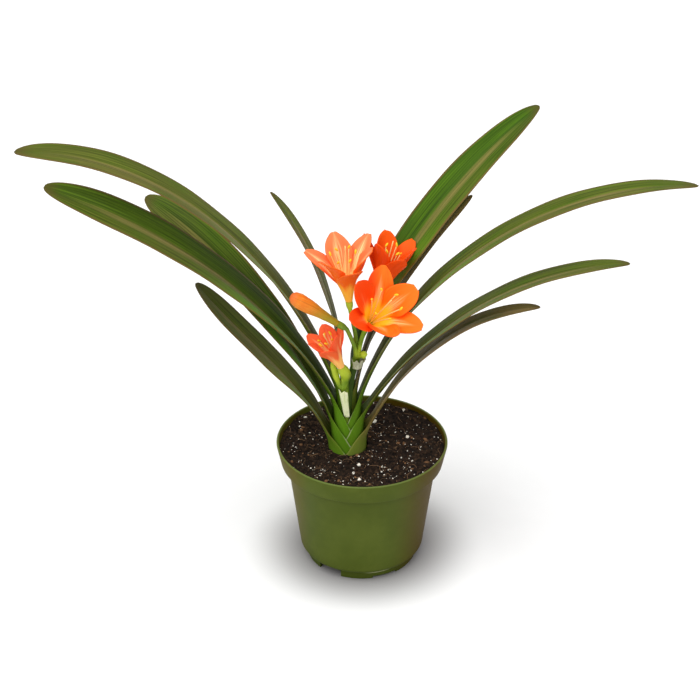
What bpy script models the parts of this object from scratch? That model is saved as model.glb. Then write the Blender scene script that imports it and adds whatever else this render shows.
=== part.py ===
"""A clivia in flower, in its moulded nursery pot.

Metres, +Z up. The origin is on the pot's axis, level with the foot it rests on. The leaves fan out
along X, and -Y is the side that the flowers face.
"""

import math
import random

import bmesh
import bpy
from mathutils import Matrix, Vector

MM = 0.001
GAP = 0.3 * MM              # clearance between pieces that touch

# Pot
POT_HEIGHT = 122 * MM
RIM_RADIUS = 79.5 * MM
BAND_HEIGHT = 20 * MM       # flared band under the rim
BAND_RADIUS = 75.6 * MM     # at the band's lower edge
SHOULDER_RADIUS = 69.5 * MM
BASE_RADIUS = 58.5 * MM
CORNER_RADIUS = 6 * MM
FOOT_RADIUS = 53 * MM
FOOT_HEIGHT = 9 * MM
WALL = 1.6 * MM
POT_SIDES = 36
NOTCH_ANGLES = (-125, -5, 115)
RELIEF_ANGLES = (-65, 55, 175)
NOTCH_WIDTH = 24 * MM
RELIEF_DEPTH = 2.4 * MM

# Soil and rootstock
SOIL_TOP = 112 * MM
PLANT_X = -13 * MM          # the plant stands a little off the pot's axis
PLANT_Y = 8 * MM
SHEATH_BOTTOM = 84 * MM     # where the leaf bases end, under the soil
ROOTSTOCK_HEIGHT = 14 * MM

# Nested leaf bases: each layer is an ellipse inside the one before
STEM_HALF_WIDTH = 18.5 * MM
STEM_HALF_DEPTH = 19.5 * MM
LAYER_STEP = 1.3 * MM
SECOND_SCAPE_LAYER = 6      # the stalks rise in front of these layers
MAIN_SCAPE_LAYER = 7
SECOND_SCAPE_ROOM = 3.0 * MM
MAIN_SCAPE_ROOM = 4.0 * MM
SHEATH_WRAP = 112.5         # degrees to each side of the keel at the bottom
NECK_WRAP = 50              # degrees where the blade leaves the stem
KEEL_THICKNESS = 2.1 * MM
SHEATH_EDGE = 0.33          # share of the keel thickness at a sheath's edge
BLADE_RIB = 0.75            # share of the keel thickness at a blade's midrib
BLADE_EDGE = 0.34
LEAF_COLUMNS = 10
BLADE_ROWS = 12

# Leaves from the outermost inward: name, side (-1 left, +1 right), height above the soil where the
# sheath's edges meet in front, blade length, width, elevation at the neck, half way and at the tip,
# swing toward the back half way and at the tip, roll toward the front half way and at the tip
LEAVES = (
    ("Leaf_Left_4", -1, -4, 205, 38, (73, 48, 52), (8, 12), (0, 0)),
    ("Leaf_Right_5", 1, 2, 228, 26, (67, 47, 7), (-6, -8), (0, 0)),
    ("Leaf_Left_3", -1, 12, 287, 37, (73, 48, 25), (24, 21), (10, 42)),
    ("Leaf_Right_4", 1, 18, 313, 32, (62, 40, 9), (-10, -12), (0, 0)),
    ("Leaf_Left_2", -1, 29, 360, 47, (67, 44, 26), (-10, -12), (12, 24)),
    ("Leaf_Right_3", 1, 31, 404, 34, (76, 39, -2), (0, 0), (0, 0)),
    ("Leaf_Left_1", -1, 40, 404, 40, (71, 46.5, 0), (-3, -5), (0, 14)),
    ("Leaf_Right_2", 1, 46, 226, 22, (85, 60, 40), (16, 22), (0, 0)),
    ("Leaf_Left_5", -1, 52, 212, 20, (90, 74, 50), (8, 12), (0, 0)),
    ("Leaf_Right_1", 1, 56, 319, 42, (87, 52, 37), (25, 15), (8, 8)),
)

# Flower stalks, round before they are flattened from front to back
SCAPE_TOP = Vector((-4, -5, 217)) * MM
SCAPE_RADIUS = 3.4 * MM
SCAPE_FLATNESS = 0.53
SECOND_TOP = Vector((-17, -8, 182)) * MM
SECOND_RADIUS = 3.0 * MM
SECOND_FLATNESS = 0.45
PEDICEL_RADIUS = 1.9 * MM
OVARY_RADIUS = 3.2 * MM
OVARY_LENGTH = 11 * MM

# Blooms: name, colour, foot of the tube, the way it faces, turn about that, tepal length,
# lean of a tepal from the axis at the tube, half way and at the tip, width of a tepal
BLOOMS = (
    ("Bloom_Left", "Salmon", (-12, -12, 275), (-0.1, -0.16, 1), 20, 62, (10, 24, 46), 26),
    ("Bloom_Right", "Vermilion", (13, 4, 269), (0.26, 0.02, 1), 12, 60, (8, 20, 28), 24),
    ("Bloom_Front", "Orange", (6, -29, 261), (0.4, -0.75, 0.95), 12, 57, (14, 34, 44), 30),
    ("Bloom_Low", "Coral", (-19, -13, 208), (-0.44, -0.2, 1), 30, 42, (8, 20, 26), 19),
)
TUBE_RADIUS = 3.0 * MM
TEPAL_COLUMNS = 4
TEPAL_ROWS = 7
FUSED_ROWS = 2              # rows from the foot where the six tepals are one tube
TEPAL_THICKNESS = 0.9 * MM
FILAMENT_RADIUS = 0.55 * MM

# The closed bud, and the small green one by the foot of the pedicels
BUD_FOOT = Vector((-22, -20, 256)) * MM
BUD_FACING = Vector((-0.76, -0.15, 0.6))
BUD_LENGTH = 52 * MM
BUD_RADIUS = 7 * MM
SMALL_BUD_REACH = Vector((5, -5, 3)) * MM
GREEN_BUD_REACH = ((0, 0, 0), (-4, -1, 8), (-7, -1, 18), (-9, -1, 27), (-10, -1, 33))
GREEN_BUD_RADII = (1.8, 2.2, 3.0, 3.0, 1.2)
# height and width shares of a closed bud, from its tip down
BUD_PROFILE = (
    (1, 0),
    (0.985, 0.45),
    (0.93, 0.8),
    (0.82, 1),
    (0.62, 0.92),
    (0.35, 0.62),
    (0.12, 0.46),
    (0, 0.42),
    (0, 0),
)

# Papery sheaths: height above the foot and radius of each row, from the foot up
BRACT_THICKNESS = 0.6 * MM
DRIED_OFFSET = Vector((-1.4, -0.8, -13)) * MM
DRIED_FACING = (0.12, -0.1, 1)
DRIED_ROWS = ((0, 4.6), (4, 4.8), (8, 6.0), (12, 7.6))
SPATHE_FOOT = Vector((-13, -5, 152)) * MM
SPATHE_FACING = (-0.09, -0.13, 1)
SPATHE_ROWS = ((0, 3.4), (10, 4.0), (22, 4.8), (32, 5.4))

PETAL_COLOURS = {
    "Salmon": (0.85, 0.2, 0.08),
    "Vermilion": (0.78, 0.1, 0.02),
    "Orange": (0.86, 0.17, 0.02),
    "Coral": (0.8, 0.13, 0.06),
}
LEAF_GREEN = (0.07, 0.16, 0.015)
STALK_GREEN = (0.2, 0.32, 0.02)


def smooth(value):
    """Ease from 0 to 1 as value goes from 0 to 1."""
    value = min(max(value, 0.0), 1.0)
    return value * value * (3 - 2 * value)


def mix(low, high, share):
    return low + (high - low) * share


def through(start, middle, end, share):
    """The parabola through three values at 0, 1/2 and 1."""
    bend = 2 * (start + end) - 4 * middle
    return start + (end - start - bend) * share + bend * share * share


def material(name, colour, roughness):
    shader = bpy.data.materials.new(name)
    shader.use_nodes = True
    surface = shader.node_tree.nodes["Principled BSDF"]
    surface.inputs["Base Color"].default_value = (*colour, 1)
    surface.inputs["Roughness"].default_value = roughness
    surface.inputs["Metallic"].default_value = 0
    shader.diffuse_color = (*colour, 1)
    return shader


def add_object(name, data, collection, shader=None):
    piece = bpy.data.objects.new(name, data)
    collection.objects.link(piece)
    if shader:
        data.materials.append(shader)
    return piece


def applied(piece):
    """Bake a piece's modifiers, or turn a curve into a closed mesh with its caps welded."""
    depsgraph = bpy.context.evaluated_depsgraph_get()
    baked = bpy.data.meshes.new_from_object(piece.evaluated_get(depsgraph))
    shape = bmesh.new()
    shape.from_mesh(baked)
    bmesh.ops.remove_doubles(shape, verts=shape.verts, dist=0.01 * MM)
    shape.to_mesh(baked)
    shape.free()
    home = piece.users_collection[0]
    fresh = bpy.data.objects.new(piece.name + "_baked", baked)
    fresh.matrix_world = piece.matrix_world.copy()
    home.objects.link(fresh)
    name = piece.name
    bpy.data.objects.remove(piece)
    fresh.name = name
    return fresh


def boolean(piece, operand, operation):
    change = piece.modifiers.new(operation.title(), "BOOLEAN")
    change.operation = operation
    change.solver = "EXACT"
    if isinstance(operand, bpy.types.Collection):
        change.operand_type = "COLLECTION"
        change.collection = operand
    else:
        change.object = operand
    return change


def fused(piece, others):
    """Join others to piece as one body and remove them."""
    bpy.context.view_layer.update()
    group = bpy.data.collections.new("Repeats")
    bpy.context.scene.collection.children.link(group)
    for other in others:
        for home in list(other.users_collection):
            home.objects.unlink(other)
        group.objects.link(other)
    boolean(piece, group, "UNION")
    joined = applied(piece)
    for other in others:
        bpy.data.objects.remove(other)
    bpy.data.collections.remove(group)
    return joined


def shade_round(piece, angle=40):
    piece.data.shade_smooth()
    piece.data.set_sharp_from_angle(angle=math.radians(angle))


def turned(name, profile, steps, collection, shader):
    """A profile in XZ, running down its outer side, turned about Z."""
    mesh = bpy.data.meshes.new(name)
    edges = [(i, i + 1) for i in range(len(profile) - 1)]
    mesh.from_pydata([(x, 0, z) for x, z in profile], edges, [])
    piece = add_object(name, mesh, collection, shader)
    turn = piece.modifiers.new("Turn", "SCREW")
    turn.steps = steps
    turn.render_steps = steps
    turn.use_merge_vertices = True
    turn.merge_threshold = 0.01 * MM
    return piece


def arc(centre_x, centre_z, radius, start, end, count):
    """Points of an arc; angles in degrees from +X toward +Z."""
    points = []
    for i in range(count + 1):
        angle = math.radians(mix(start, end, i / count))
        points.append((centre_x + radius * math.cos(angle), centre_z + radius * math.sin(angle)))
    return points


def block(name, size, location, spin, collection):
    """A box cutter turned about the pot's axis."""
    mesh = bpy.data.meshes.new(name)
    shape = bmesh.new()
    bmesh.ops.create_cube(shape, size=1, matrix=Matrix.Diagonal((*size, 1)))
    shape.to_mesh(mesh)
    shape.free()
    cutter = add_object(name, mesh, collection)
    turn = Matrix.Rotation(math.radians(spin), 4, "Z")
    cutter.matrix_world = turn @ Matrix.Translation(location)
    cutter.display_type = "WIRE"
    cutter.hide_render = True
    return cutter


def tube(name, points, radii, collection, shader, resolution=1):
    """A tapered round stalk through points, with closed ends."""
    curve = bpy.data.curves.new(name, "CURVE")
    curve.dimensions = "3D"
    curve.bevel_depth = 1
    curve.bevel_resolution = resolution
    curve.use_fill_caps = True
    line = curve.splines.new("POLY")
    line.points.add(len(points) - 1)
    for point, place, radius in zip(line.points, points, radii):
        point.co = (*place, 1)
        point.radius = radius
    piece = add_object(name, curve, collection, shader)
    bpy.context.view_layer.update()
    return applied(piece)


def bent(start, lean, end, count):
    """Points of a smooth stalk from start to end that sets off along lean."""
    points = []
    for i in range(count + 1):
        t = i / count
        points.append((1 - t) ** 2 * start + 2 * t * (1 - t) * (start + lean) + t * t * end)
    return points


def make_pot(parts, cutters):
    """A turned shell with a flared band, and a foot ring cut by notches, drains and reliefs."""
    rim = RIM_RADIUS
    band_foot = POT_HEIGHT - BAND_HEIGHT
    lip = 1.1 * MM
    floor = FOOT_HEIGHT + WALL
    profile = [(0, floor)]
    inner_corner = CORNER_RADIUS - WALL
    profile += arc(BASE_RADIUS - CORNER_RADIUS, floor + inner_corner, inner_corner, -90, -5, 2)
    profile += [
        (SHOULDER_RADIUS - WALL, band_foot + WALL),
        (BAND_RADIUS - WALL, band_foot + WALL),
    ]
    profile += arc(rim - lip, POT_HEIGHT - lip, lip, 180, 0, 4)
    profile += [
        (BAND_RADIUS, band_foot),
        (SHOULDER_RADIUS, band_foot),
    ]
    profile += arc(BASE_RADIUS - CORNER_RADIUS, FOOT_HEIGHT + CORNER_RADIUS, CORNER_RADIUS, 0, -90, 3)
    profile += [
        (FOOT_RADIUS - 0.6 * MM, FOOT_HEIGHT),
        (FOOT_RADIUS - 1 * MM, 0),
        (FOOT_RADIUS - 1 * MM - 1.4 * WALL, 0),
        (FOOT_RADIUS - 1 * MM - 1.4 * WALL, FOOT_HEIGHT),
        (0, FOOT_HEIGHT),
    ]
    olive = material("Olive_Plastic", (0.105, 0.155, 0.03), 0.45)
    pot = turned("Pot", profile, POT_SIDES, parts, olive)
    for spin in NOTCH_ANGLES:
        notch_size = (12 * MM, NOTCH_WIDTH, FOOT_HEIGHT * 2 - 1.4 * MM)
        notch = block("Notch", notch_size, (FOOT_RADIUS, 0, 0), spin, cutters)
        boolean(pot, notch, "DIFFERENCE")
        hole_place = (BASE_RADIUS - 5 * MM, 0, FOOT_HEIGHT + 1 * MM)
        hole = block("Drain", (7 * MM, 13 * MM, 6 * MM), hole_place, spin, cutters)
        boolean(pot, hole, "DIFFERENCE")
    for spin in RELIEF_ANGLES:
        relief_size = (12 * MM, NOTCH_WIDTH, RELIEF_DEPTH * 2)
        relief = block("Relief", relief_size, (FOOT_RADIUS, 0, 0), spin, cutters)
        boolean(pot, relief, "DIFFERENCE")
    pot = applied(pot)
    shade_round(pot, 30)
    return pot


def make_soil(parts):
    """The filling follows the pot's inside, with an uneven top and a hole for the plant."""
    rng = random.Random(11)
    inner_foot = FOOT_HEIGHT + WALL + GAP
    corner = CORNER_RADIUS - WALL
    band_foot = POT_HEIGHT - BAND_HEIGHT + WALL + GAP
    taper = (RIM_RADIUS - BAND_RADIUS) / BAND_HEIGHT
    top_radius = BAND_RADIUS - WALL - 2 * GAP + taper * (SOIL_TOP - band_foot)
    rings = (0, 18, 34, 48, 61)
    profile = [(radius * MM, SOIL_TOP) for radius in rings]
    profile += [
        (top_radius, SOIL_TOP),
        (BAND_RADIUS - WALL - 2 * GAP, band_foot),
        (SHOULDER_RADIUS - WALL - GAP, band_foot),
    ]
    profile += arc(BASE_RADIUS - CORNER_RADIUS, inner_foot + corner, corner - GAP, 0, -90, 2)
    profile += [(0, inner_foot + GAP)]
    dark_mix = material("Potting_Mix", (0.025, 0.016, 0.01), 0.9)
    soil = turned("Soil", profile, POT_SIDES, parts, dark_mix)
    soil = applied(soil)
    for vertex in soil.data.vertices:
        reach = math.hypot(vertex.co.x, vertex.co.y)
        if vertex.co.z > SOIL_TOP - 0.1 * MM and reach < top_radius - 1 * MM:
            vertex.co.z += rng.uniform(-1.6, 1.2) * MM
    lumps = []
    for index in range(10):
        angle = index * 2.4 + rng.uniform(-0.4, 0.4)
        reach = math.sqrt(rng.uniform(0.16, 0.8)) * top_radius
        mesh = bpy.data.meshes.new("Lump")
        shape = bmesh.new()
        half_sizes = Vector((rng.uniform(3, 6), rng.uniform(2, 4), rng.uniform(2, 3))) * MM
        stretch = Matrix.Diagonal((*half_sizes, 1))
        turn = Matrix.Rotation(rng.uniform(0, math.pi), 4, "Z")
        bmesh.ops.create_icosphere(shape, subdivisions=1, radius=1, matrix=turn @ stretch)
        shape.to_mesh(mesh)
        shape.free()
        lump = add_object("Lump", mesh, parts, dark_mix)
        lump.location = (reach * math.cos(angle), reach * math.sin(angle), SOIL_TOP - 0.4 * MM)
        lumps.append(lump)
    soil = fused(soil, lumps)
    mesh = bpy.data.meshes.new("Plant_Hole")
    shape = bmesh.new()
    depth = SOIL_TOP + 6 * MM - (SHEATH_BOTTOM - GAP - ROOTSTOCK_HEIGHT - GAP)
    bmesh.ops.create_cone(shape, cap_ends=True, segments=24, radius1=1, radius2=1, depth=depth)
    clear = 0.9 * MM
    bmesh.ops.scale(shape, vec=(STEM_HALF_WIDTH + clear, STEM_HALF_DEPTH + clear, 1), verts=shape.verts)
    shape.to_mesh(mesh)
    shape.free()
    hole = add_object("Plant_Hole", mesh, parts)
    hole.location = (PLANT_X, PLANT_Y, SOIL_TOP + 6 * MM - depth / 2)
    bpy.context.view_layer.update()
    boolean(soil, hole, "DIFFERENCE")
    soil = applied(soil)
    bpy.data.objects.remove(hole)
    return soil


def make_rootstock(parts):
    """The short stem that the leaves and the flower stalks grow from."""
    top = SHEATH_BOTTOM - GAP
    profile = [
        (0, top),
        (0.8, top),
        (0.98, top - 0.45 * ROOTSTOCK_HEIGHT),
        (0.6, top - ROOTSTOCK_HEIGHT),
        (0, top - ROOTSTOCK_HEIGHT),
    ]
    stock = turned("Rootstock", profile, 24, parts, material("Root_Cream", (0.45, 0.36, 0.2), 0.7))
    stock = applied(stock)
    stretch = Matrix.Diagonal((STEM_HALF_WIDTH, STEM_HALF_DEPTH, 1, 1))
    stock.data.transform(Matrix.Translation((PLANT_X, PLANT_Y, 0)) @ stretch)
    shade_round(stock)
    return stock


def layer_ring(layer):
    """Half width, half depth and centre of a layer's ellipse, with room for the stalks in front."""
    front = STEM_HALF_DEPTH - layer * LAYER_STEP
    back = front
    half_width = STEM_HALF_WIDTH - layer * LAYER_STEP
    if layer >= SECOND_SCAPE_LAYER:
        front -= SECOND_SCAPE_ROOM
        half_width -= 0.3 * MM
    if layer >= MAIN_SCAPE_LAYER:
        front -= MAIN_SCAPE_ROOM
        half_width -= 0.6 * MM
    return half_width, (front + back) / 2, PLANT_Y + (back - front) / 2


def leaf_spine(side, neck_height, length, elevations, swings, rolls, layer):
    """Stations along the midrib: place, width direction, upper direction and shares."""
    sheath = neck_height - SHEATH_BOTTOM
    half_width, _, centre_y = layer_ring(layer)
    place = Vector((PLANT_X + side * half_width, centre_y, SHEATH_BOTTOM))
    heights = [0, sheath * 0.45, sheath * 0.75, sheath]
    fine = 240
    rows = []
    for height in heights:
        rows.append((place + Vector((0, 0, height)), Vector((0, 1, 0)), Vector((-side, 0, 0)), height, 0.0))
    spot = place + Vector((0, 0, sheath))
    wanted = []
    for row in range(BLADE_ROWS):
        even = (row + 1) / BLADE_ROWS
        wanted.append(mix(even, smooth(even), 0.55))
    for step in range(fine):
        share = (step + 0.5) / fine
        ease = smooth(share * 14)
        lift = math.radians(mix(90, through(*elevations, share), ease))
        swing = math.radians(through(0, *swings, share))
        ahead = Vector((side * math.cos(swing), math.sin(swing), 0))
        tangent = ahead * math.cos(lift) + Vector((0, 0, math.sin(lift)))
        upper = Vector((0, 0, math.cos(lift))) - ahead * math.sin(lift)
        spot = spot + tangent * (length / fine)
        end = (step + 1) / fine
        while wanted and end >= wanted[0] - 1e-9:
            wanted.pop(0)
            roll = math.radians(through(0, *rolls, share)) * side
            turn = Matrix.Rotation(roll, 3, tangent)
            across = turn @ (upper.cross(tangent) * side)
            rows.append((spot.copy(), across, turn @ upper, sheath + share * length, end))
    return rows


def blade_half_width(share, width):
    """A strap leaf: narrow at the neck, widest past the middle, with a tapered tip."""
    neck = mix(0.44, 1, smooth(share / 0.5))
    tip = 1 - max(0, (share - 0.55) / 0.45) ** 3
    return width / 2 * neck * max(tip, 0) ** 0.5


def leaf_section(layer, width, wrap, share, settle):
    """Points across a leaf as (across, up, thickness share), from edge to edge."""
    half_width, half_depth, _ = layer_ring(layer)
    half = blade_half_width(share, width)
    fold = math.radians(mix(58, 17, smooth(share / 0.55)))
    sides = LEAF_COLUMNS // 2
    points = []
    for column in range(-sides, sides + 1):
        t = abs(column) / sides
        sign = 1 if column >= 0 else -1
        angle = math.radians(wrap) * t
        ring = Vector((half_depth * math.sin(angle), half_width * (1 - math.cos(angle))))
        slope = fold * (1 - 0.45 * t)
        flat = Vector((half * t * math.cos(slope), half * t * math.sin(slope)))
        spot = ring.lerp(flat, settle)
        edge = mix(SHEATH_EDGE, BLADE_EDGE, settle)
        thick = mix(mix(1, BLADE_RIB, settle), edge, min(1, t * 1.25))
        points.append((spot.x * sign, spot.y, thick))
    return points


def make_leaf(parts, row, layer, shader):
    name, side, edge_height, length, width, elevations, swings, rolls = row
    neck_height = SOIL_TOP + (edge_height + 1) * MM
    rows = leaf_spine(side, neck_height, length * MM, elevations, swings, rolls, layer)
    mesh = bpy.data.meshes.new(name)
    shape = bmesh.new()
    bmesh.ops.create_grid(shape, x_segments=LEAF_COLUMNS, y_segments=len(rows) - 1, size=0.5)
    shape.verts.ensure_lookup_table()
    weights = []
    columns = LEAF_COLUMNS + 1
    for index, vertex in enumerate(shape.verts):
        place, across, upper, run, share = rows[index // columns]
        above = (SHEATH_BOTTOM + run - SOIL_TOP) / MM - edge_height
        wrap = min(SHEATH_WRAP, max(NECK_WRAP, 90 - 2.0 * above))
        settle = smooth((run - (neck_height - SHEATH_BOTTOM)) / (34 * MM))
        u, v, thick = leaf_section(layer, width * MM, wrap, share, settle)[index % columns]
        vertex.co = place + across * u + upper * v
        weights.append(thick)
    shape.to_mesh(mesh)
    shape.free()
    leaf = add_object(name, mesh, parts, shader)
    group = leaf.vertex_groups.new(name="Thickness")
    for index, weight in enumerate(weights):
        group.add([index], weight, "REPLACE")
    split = leaf.modifiers.new("Split", "TRIANGULATE")
    split.quad_method = "SHORTEST_DIAGONAL"
    weld = leaf.modifiers.new("Tip", "WELD")
    weld.merge_threshold = 0.05 * MM
    shell = leaf.modifiers.new("Shell", "SOLIDIFY")
    shell.thickness = KEEL_THICKNESS
    shell.offset = 1
    shell.vertex_group = "Thickness"
    leaf.data.shade_smooth()
    if side > 0:
        leaf.data.flip_normals()
    return leaf


def facing(origin, direction):
    """The matrix that puts +Z of a bloom along direction, with its foot at origin."""
    turn = Vector(direction).to_track_quat("Z", "Y").to_matrix().to_4x4()
    return Matrix.Translation(Vector(origin) * MM) @ turn


def tepal_line(length, leans, outward):
    """Points (radius, height) along a tepal's middle; outward adds to its lean in degrees."""
    points = [(TUBE_RADIUS, 0.0)]
    radius, height = points[0]
    fine = 20
    for row in range(TEPAL_ROWS):
        for step in range(fine):
            share = (row + (step + 0.5) / fine) / TEPAL_ROWS
            lean = math.radians(through(*leans, share) + outward * smooth(share * 1.6))
            radius += math.sin(lean) * length / TEPAL_ROWS / fine
            height += math.cos(lean) * length / TEPAL_ROWS / fine
        points.append((radius, height))
    return points


def tepal_half_width(share, width):
    """Broad past the middle, with a rounded tip."""
    return width / 2 * math.sin(math.pi * min(share, 0.975) ** 1.6) ** 0.5


def perianth_ring(row, lines, width):
    """One ring of points: the tube's closed ring below, six separate tepals above."""
    share = row / TEPAL_ROWS
    fused_row = row <= FUSED_ROWS
    ring = []
    for tepal in range(6):
        middle = math.radians(60 * tepal)
        outer = tepal % 2
        radius, height = lines[outer][row]
        sweep = math.radians(30)
        if fused_row:
            radius = (lines[0][row][0] + lines[1][row][0]) / 2
            height = (lines[0][row][1] + lines[1][row][1]) / 2
        else:
            limit = math.radians(29 if row == FUSED_ROWS + 1 else 46)
            full = width * (0.84 if outer else 1)
            sweep = min(tepal_half_width(share, full) / radius, limit)
        for column in range(TEPAL_COLUMNS + (0 if fused_row else 1)):
            angle = middle + sweep * (column / TEPAL_COLUMNS * 2 - 1)
            ring.append(Vector((radius * math.cos(angle), radius * math.sin(angle), height)))
    return ring


def make_perianth(name, length, leans, width, parts, shader):
    """A tube that parts into six tepals, the outer three narrower and leaning further out."""
    columns = 6 * TEPAL_COLUMNS
    mesh = bpy.data.meshes.new(name)
    shape = bmesh.new()
    lines = [tepal_line(length, leans, outward) for outward in (-4, 8)]
    rows = []
    for row in range(TEPAL_ROWS + 1):
        rows.append([shape.verts.new(spot) for spot in perianth_ring(row, lines, width)])
    for row in range(TEPAL_ROWS):
        low, high = rows[row], rows[row + 1]
        for column in range(columns):
            free = column + column // TEPAL_COLUMNS
            after = (column + 1) % columns
            a, b = (column, after) if row <= FUSED_ROWS else (free, free + 1)
            c, d = (after, column) if row < FUSED_ROWS else (free + 1, free)
            shape.faces.new((low[a], low[b], high[c], high[d]))
    bmesh.ops.triangulate(shape, faces=shape.faces)
    shape.to_mesh(mesh)
    shape.free()
    perianth = add_object(name, mesh, parts, shader)
    shell = perianth.modifiers.new("Shell", "SOLIDIFY")
    shell.thickness = TEPAL_THICKNESS
    shell.offset = 0
    return applied(perianth)


def make_bloom(parts, row, shader):
    name, _, foot, direction, turn, length, leans, width = row
    length *= MM
    rng = random.Random(name)
    perianth = make_perianth(name, length, leans, width * MM, parts, shader)
    inside = []
    plug = turned("Plug", [(0, 7 * MM), (TUBE_RADIUS, 6 * MM), (TUBE_RADIUS, 0), (0, 0)], 12, parts, shader)
    plug = applied(plug)
    inside.append(plug)
    lean = math.radians(leans[1] * 0.45)
    for index in range(7):
        angle = math.radians(60 * index + 15)
        reach = length * (0.78 if index < 6 else 0.92) * rng.uniform(0.93, 1.03)
        root = 1.7 * MM if index < 6 else 0
        side = Vector((math.cos(angle), math.sin(angle), 0)) if index < 6 else Vector((0.25, 0, 0))
        points = []
        for step in range(4):
            share = step / 3
            out = root + reach * share * math.sin(lean) * (0.7 + 0.3 * share)
            points.append(side * out + Vector((0, 0, 3 * MM + reach * share * math.cos(lean))))
        tip = points[-1] + (points[-1] - points[-2]).normalized() * 3.2 * MM
        points.append(tip)
        thick = FILAMENT_RADIUS
        radii = [thick, thick, thick, thick * 1.1, thick * 1.9] if index < 6 else [thick] * 5
        inside.append(tube("Stamen", points, radii, parts, shader, resolution=0))
    bpy.context.view_layer.update()
    bloom = fused(perianth, inside)
    spin = Matrix.Rotation(math.radians(turn), 4, "Z")
    bloom.data.transform(facing(foot, direction) @ spin)
    shade_round(bloom)
    return bloom


def stalk(name, start, lean, end, along, parts, shader):
    """A pedicel from start to end, swelling into the ovary under the bloom."""
    points = bent(start, lean, end - along * OVARY_LENGTH, 4)
    radii = [PEDICEL_RADIUS * 1.25] + [PEDICEL_RADIUS] * (len(points) - 1)
    for share, swell in ((0.6, 1), (0.2, 1), (0, 0.8)):
        points.append(end - along * OVARY_LENGTH * share)
        radii.append(OVARY_RADIUS * swell)
    return tube(name, points, radii, parts, shader)


def seat(row):
    """Where the stalk ends under a bloom, and the way it comes up."""
    foot = Vector(row[2]) * MM
    along = Vector(row[3]).normalized()
    return foot - along * GAP, along


def rising(x, layer_y, top, straight):
    """Points of a scape: straight up between the sheaths, then over to its top."""
    foot = Vector((x, layer_y, SHEATH_BOTTOM))
    turn = Vector((x, layer_y, straight))
    return [foot, (foot + turn) / 2] + bent(turn, Vector((0, 0, (top.z - turn.z) * 0.5)), top, 4)


def flattened_stalk(name, points, radii, flatness, parts, shader):
    """A two-edged stalk: round, then pressed flat from front to back about its foot."""
    middle = points[0].y
    flat = [Vector((p.x, middle + (p.y - middle) / flatness, p.z)) for p in points]
    scape = tube(name, flat, radii, parts, shader, resolution=2)
    press = Matrix.Translation((0, middle, 0)) @ Matrix.Diagonal((1, flatness, 1, 1))
    scape.data.transform(press @ Matrix.Translation((0, -middle, 0)))
    return scape


def scape_y(layer, room):
    """Middle of the room in front of a layer."""
    front = layer_ring(layer)[2] - layer_ring(layer)[1]
    return front - (room + LAYER_STEP - KEEL_THICKNESS * SHEATH_EDGE) / 2


def make_umbel(parts, shader):
    """The main stalk, two-edged and flattened, with its pedicels, ovaries and one small bud."""
    middle = scape_y(MAIN_SCAPE_LAYER, MAIN_SCAPE_ROOM)
    points = rising(PLANT_X, middle, SCAPE_TOP, SOIL_TOP + 38 * MM)
    radii = [SCAPE_RADIUS] * len(points)
    scape = flattened_stalk("Umbel", points, radii, SCAPE_FLATNESS, parts, shader)
    head = SCAPE_TOP - Vector((0, 0, 3 * MM))
    limbs = []
    for row in BLOOMS[:3]:
        end, along = seat(row)
        out = Vector((along.x, along.y, 0))
        lean = Vector((along.x * 2, along.y * 2, 16)) * MM
        limbs.append(stalk("Pedicel", head + out * 1.5 * MM, lean, end, along, parts, shader))
    along = BUD_FACING.normalized()
    end = BUD_FOOT - along * GAP
    start = head + Vector((-1.5, -1, 0)) * MM
    lean = Vector((0, -5, 13)) * MM
    limbs.append(stalk("Pedicel", start, lean, end, along, parts, shader))
    small = head + SMALL_BUD_REACH
    points = [head, head + SMALL_BUD_REACH * 0.5, small]
    points += [small + Vector((0.4, -0.4, 2.4)) * MM, small + Vector((0.6, -0.6, 5)) * MM]
    limbs.append(tube("Small_Bud", points, [r * MM for r in (1.7, 1.5, 2, 3.1, 1.6)], parts, shader))
    umbel = fused(scape, limbs)
    shade_round(umbel)
    return umbel


def make_second_scape(parts, shader):
    """The short stalk in front, with the ovary of the low bloom and a green bud behind it."""
    middle = scape_y(SECOND_SCAPE_LAYER, SECOND_SCAPE_ROOM)
    points = rising(PLANT_X - 0.8 * MM, middle, SECOND_TOP, SOIL_TOP + 36 * MM)
    radii = [SECOND_RADIUS] * len(points)
    scape = flattened_stalk("Second_Scape", points, radii, SECOND_FLATNESS, parts, shader)
    head = SECOND_TOP - Vector((0, 0, 3 * MM))
    end, along = seat(BLOOMS[3])
    points = [head, end - along * 12 * MM, end - along * 7 * MM, end - along * 2 * MM, end]
    ovary = tube("Ovary", points, [r * MM for r in (2.2, 4.6, 5.2, 4.4, 2.8)], parts, shader)
    bud_points = [head + Vector(reach) * MM for reach in GREEN_BUD_REACH]
    bud = tube("Green_Bud", bud_points, [r * MM for r in GREEN_BUD_RADII], parts, shader)
    second = fused(scape, [ovary, bud])
    shade_round(second)
    return second


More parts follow.
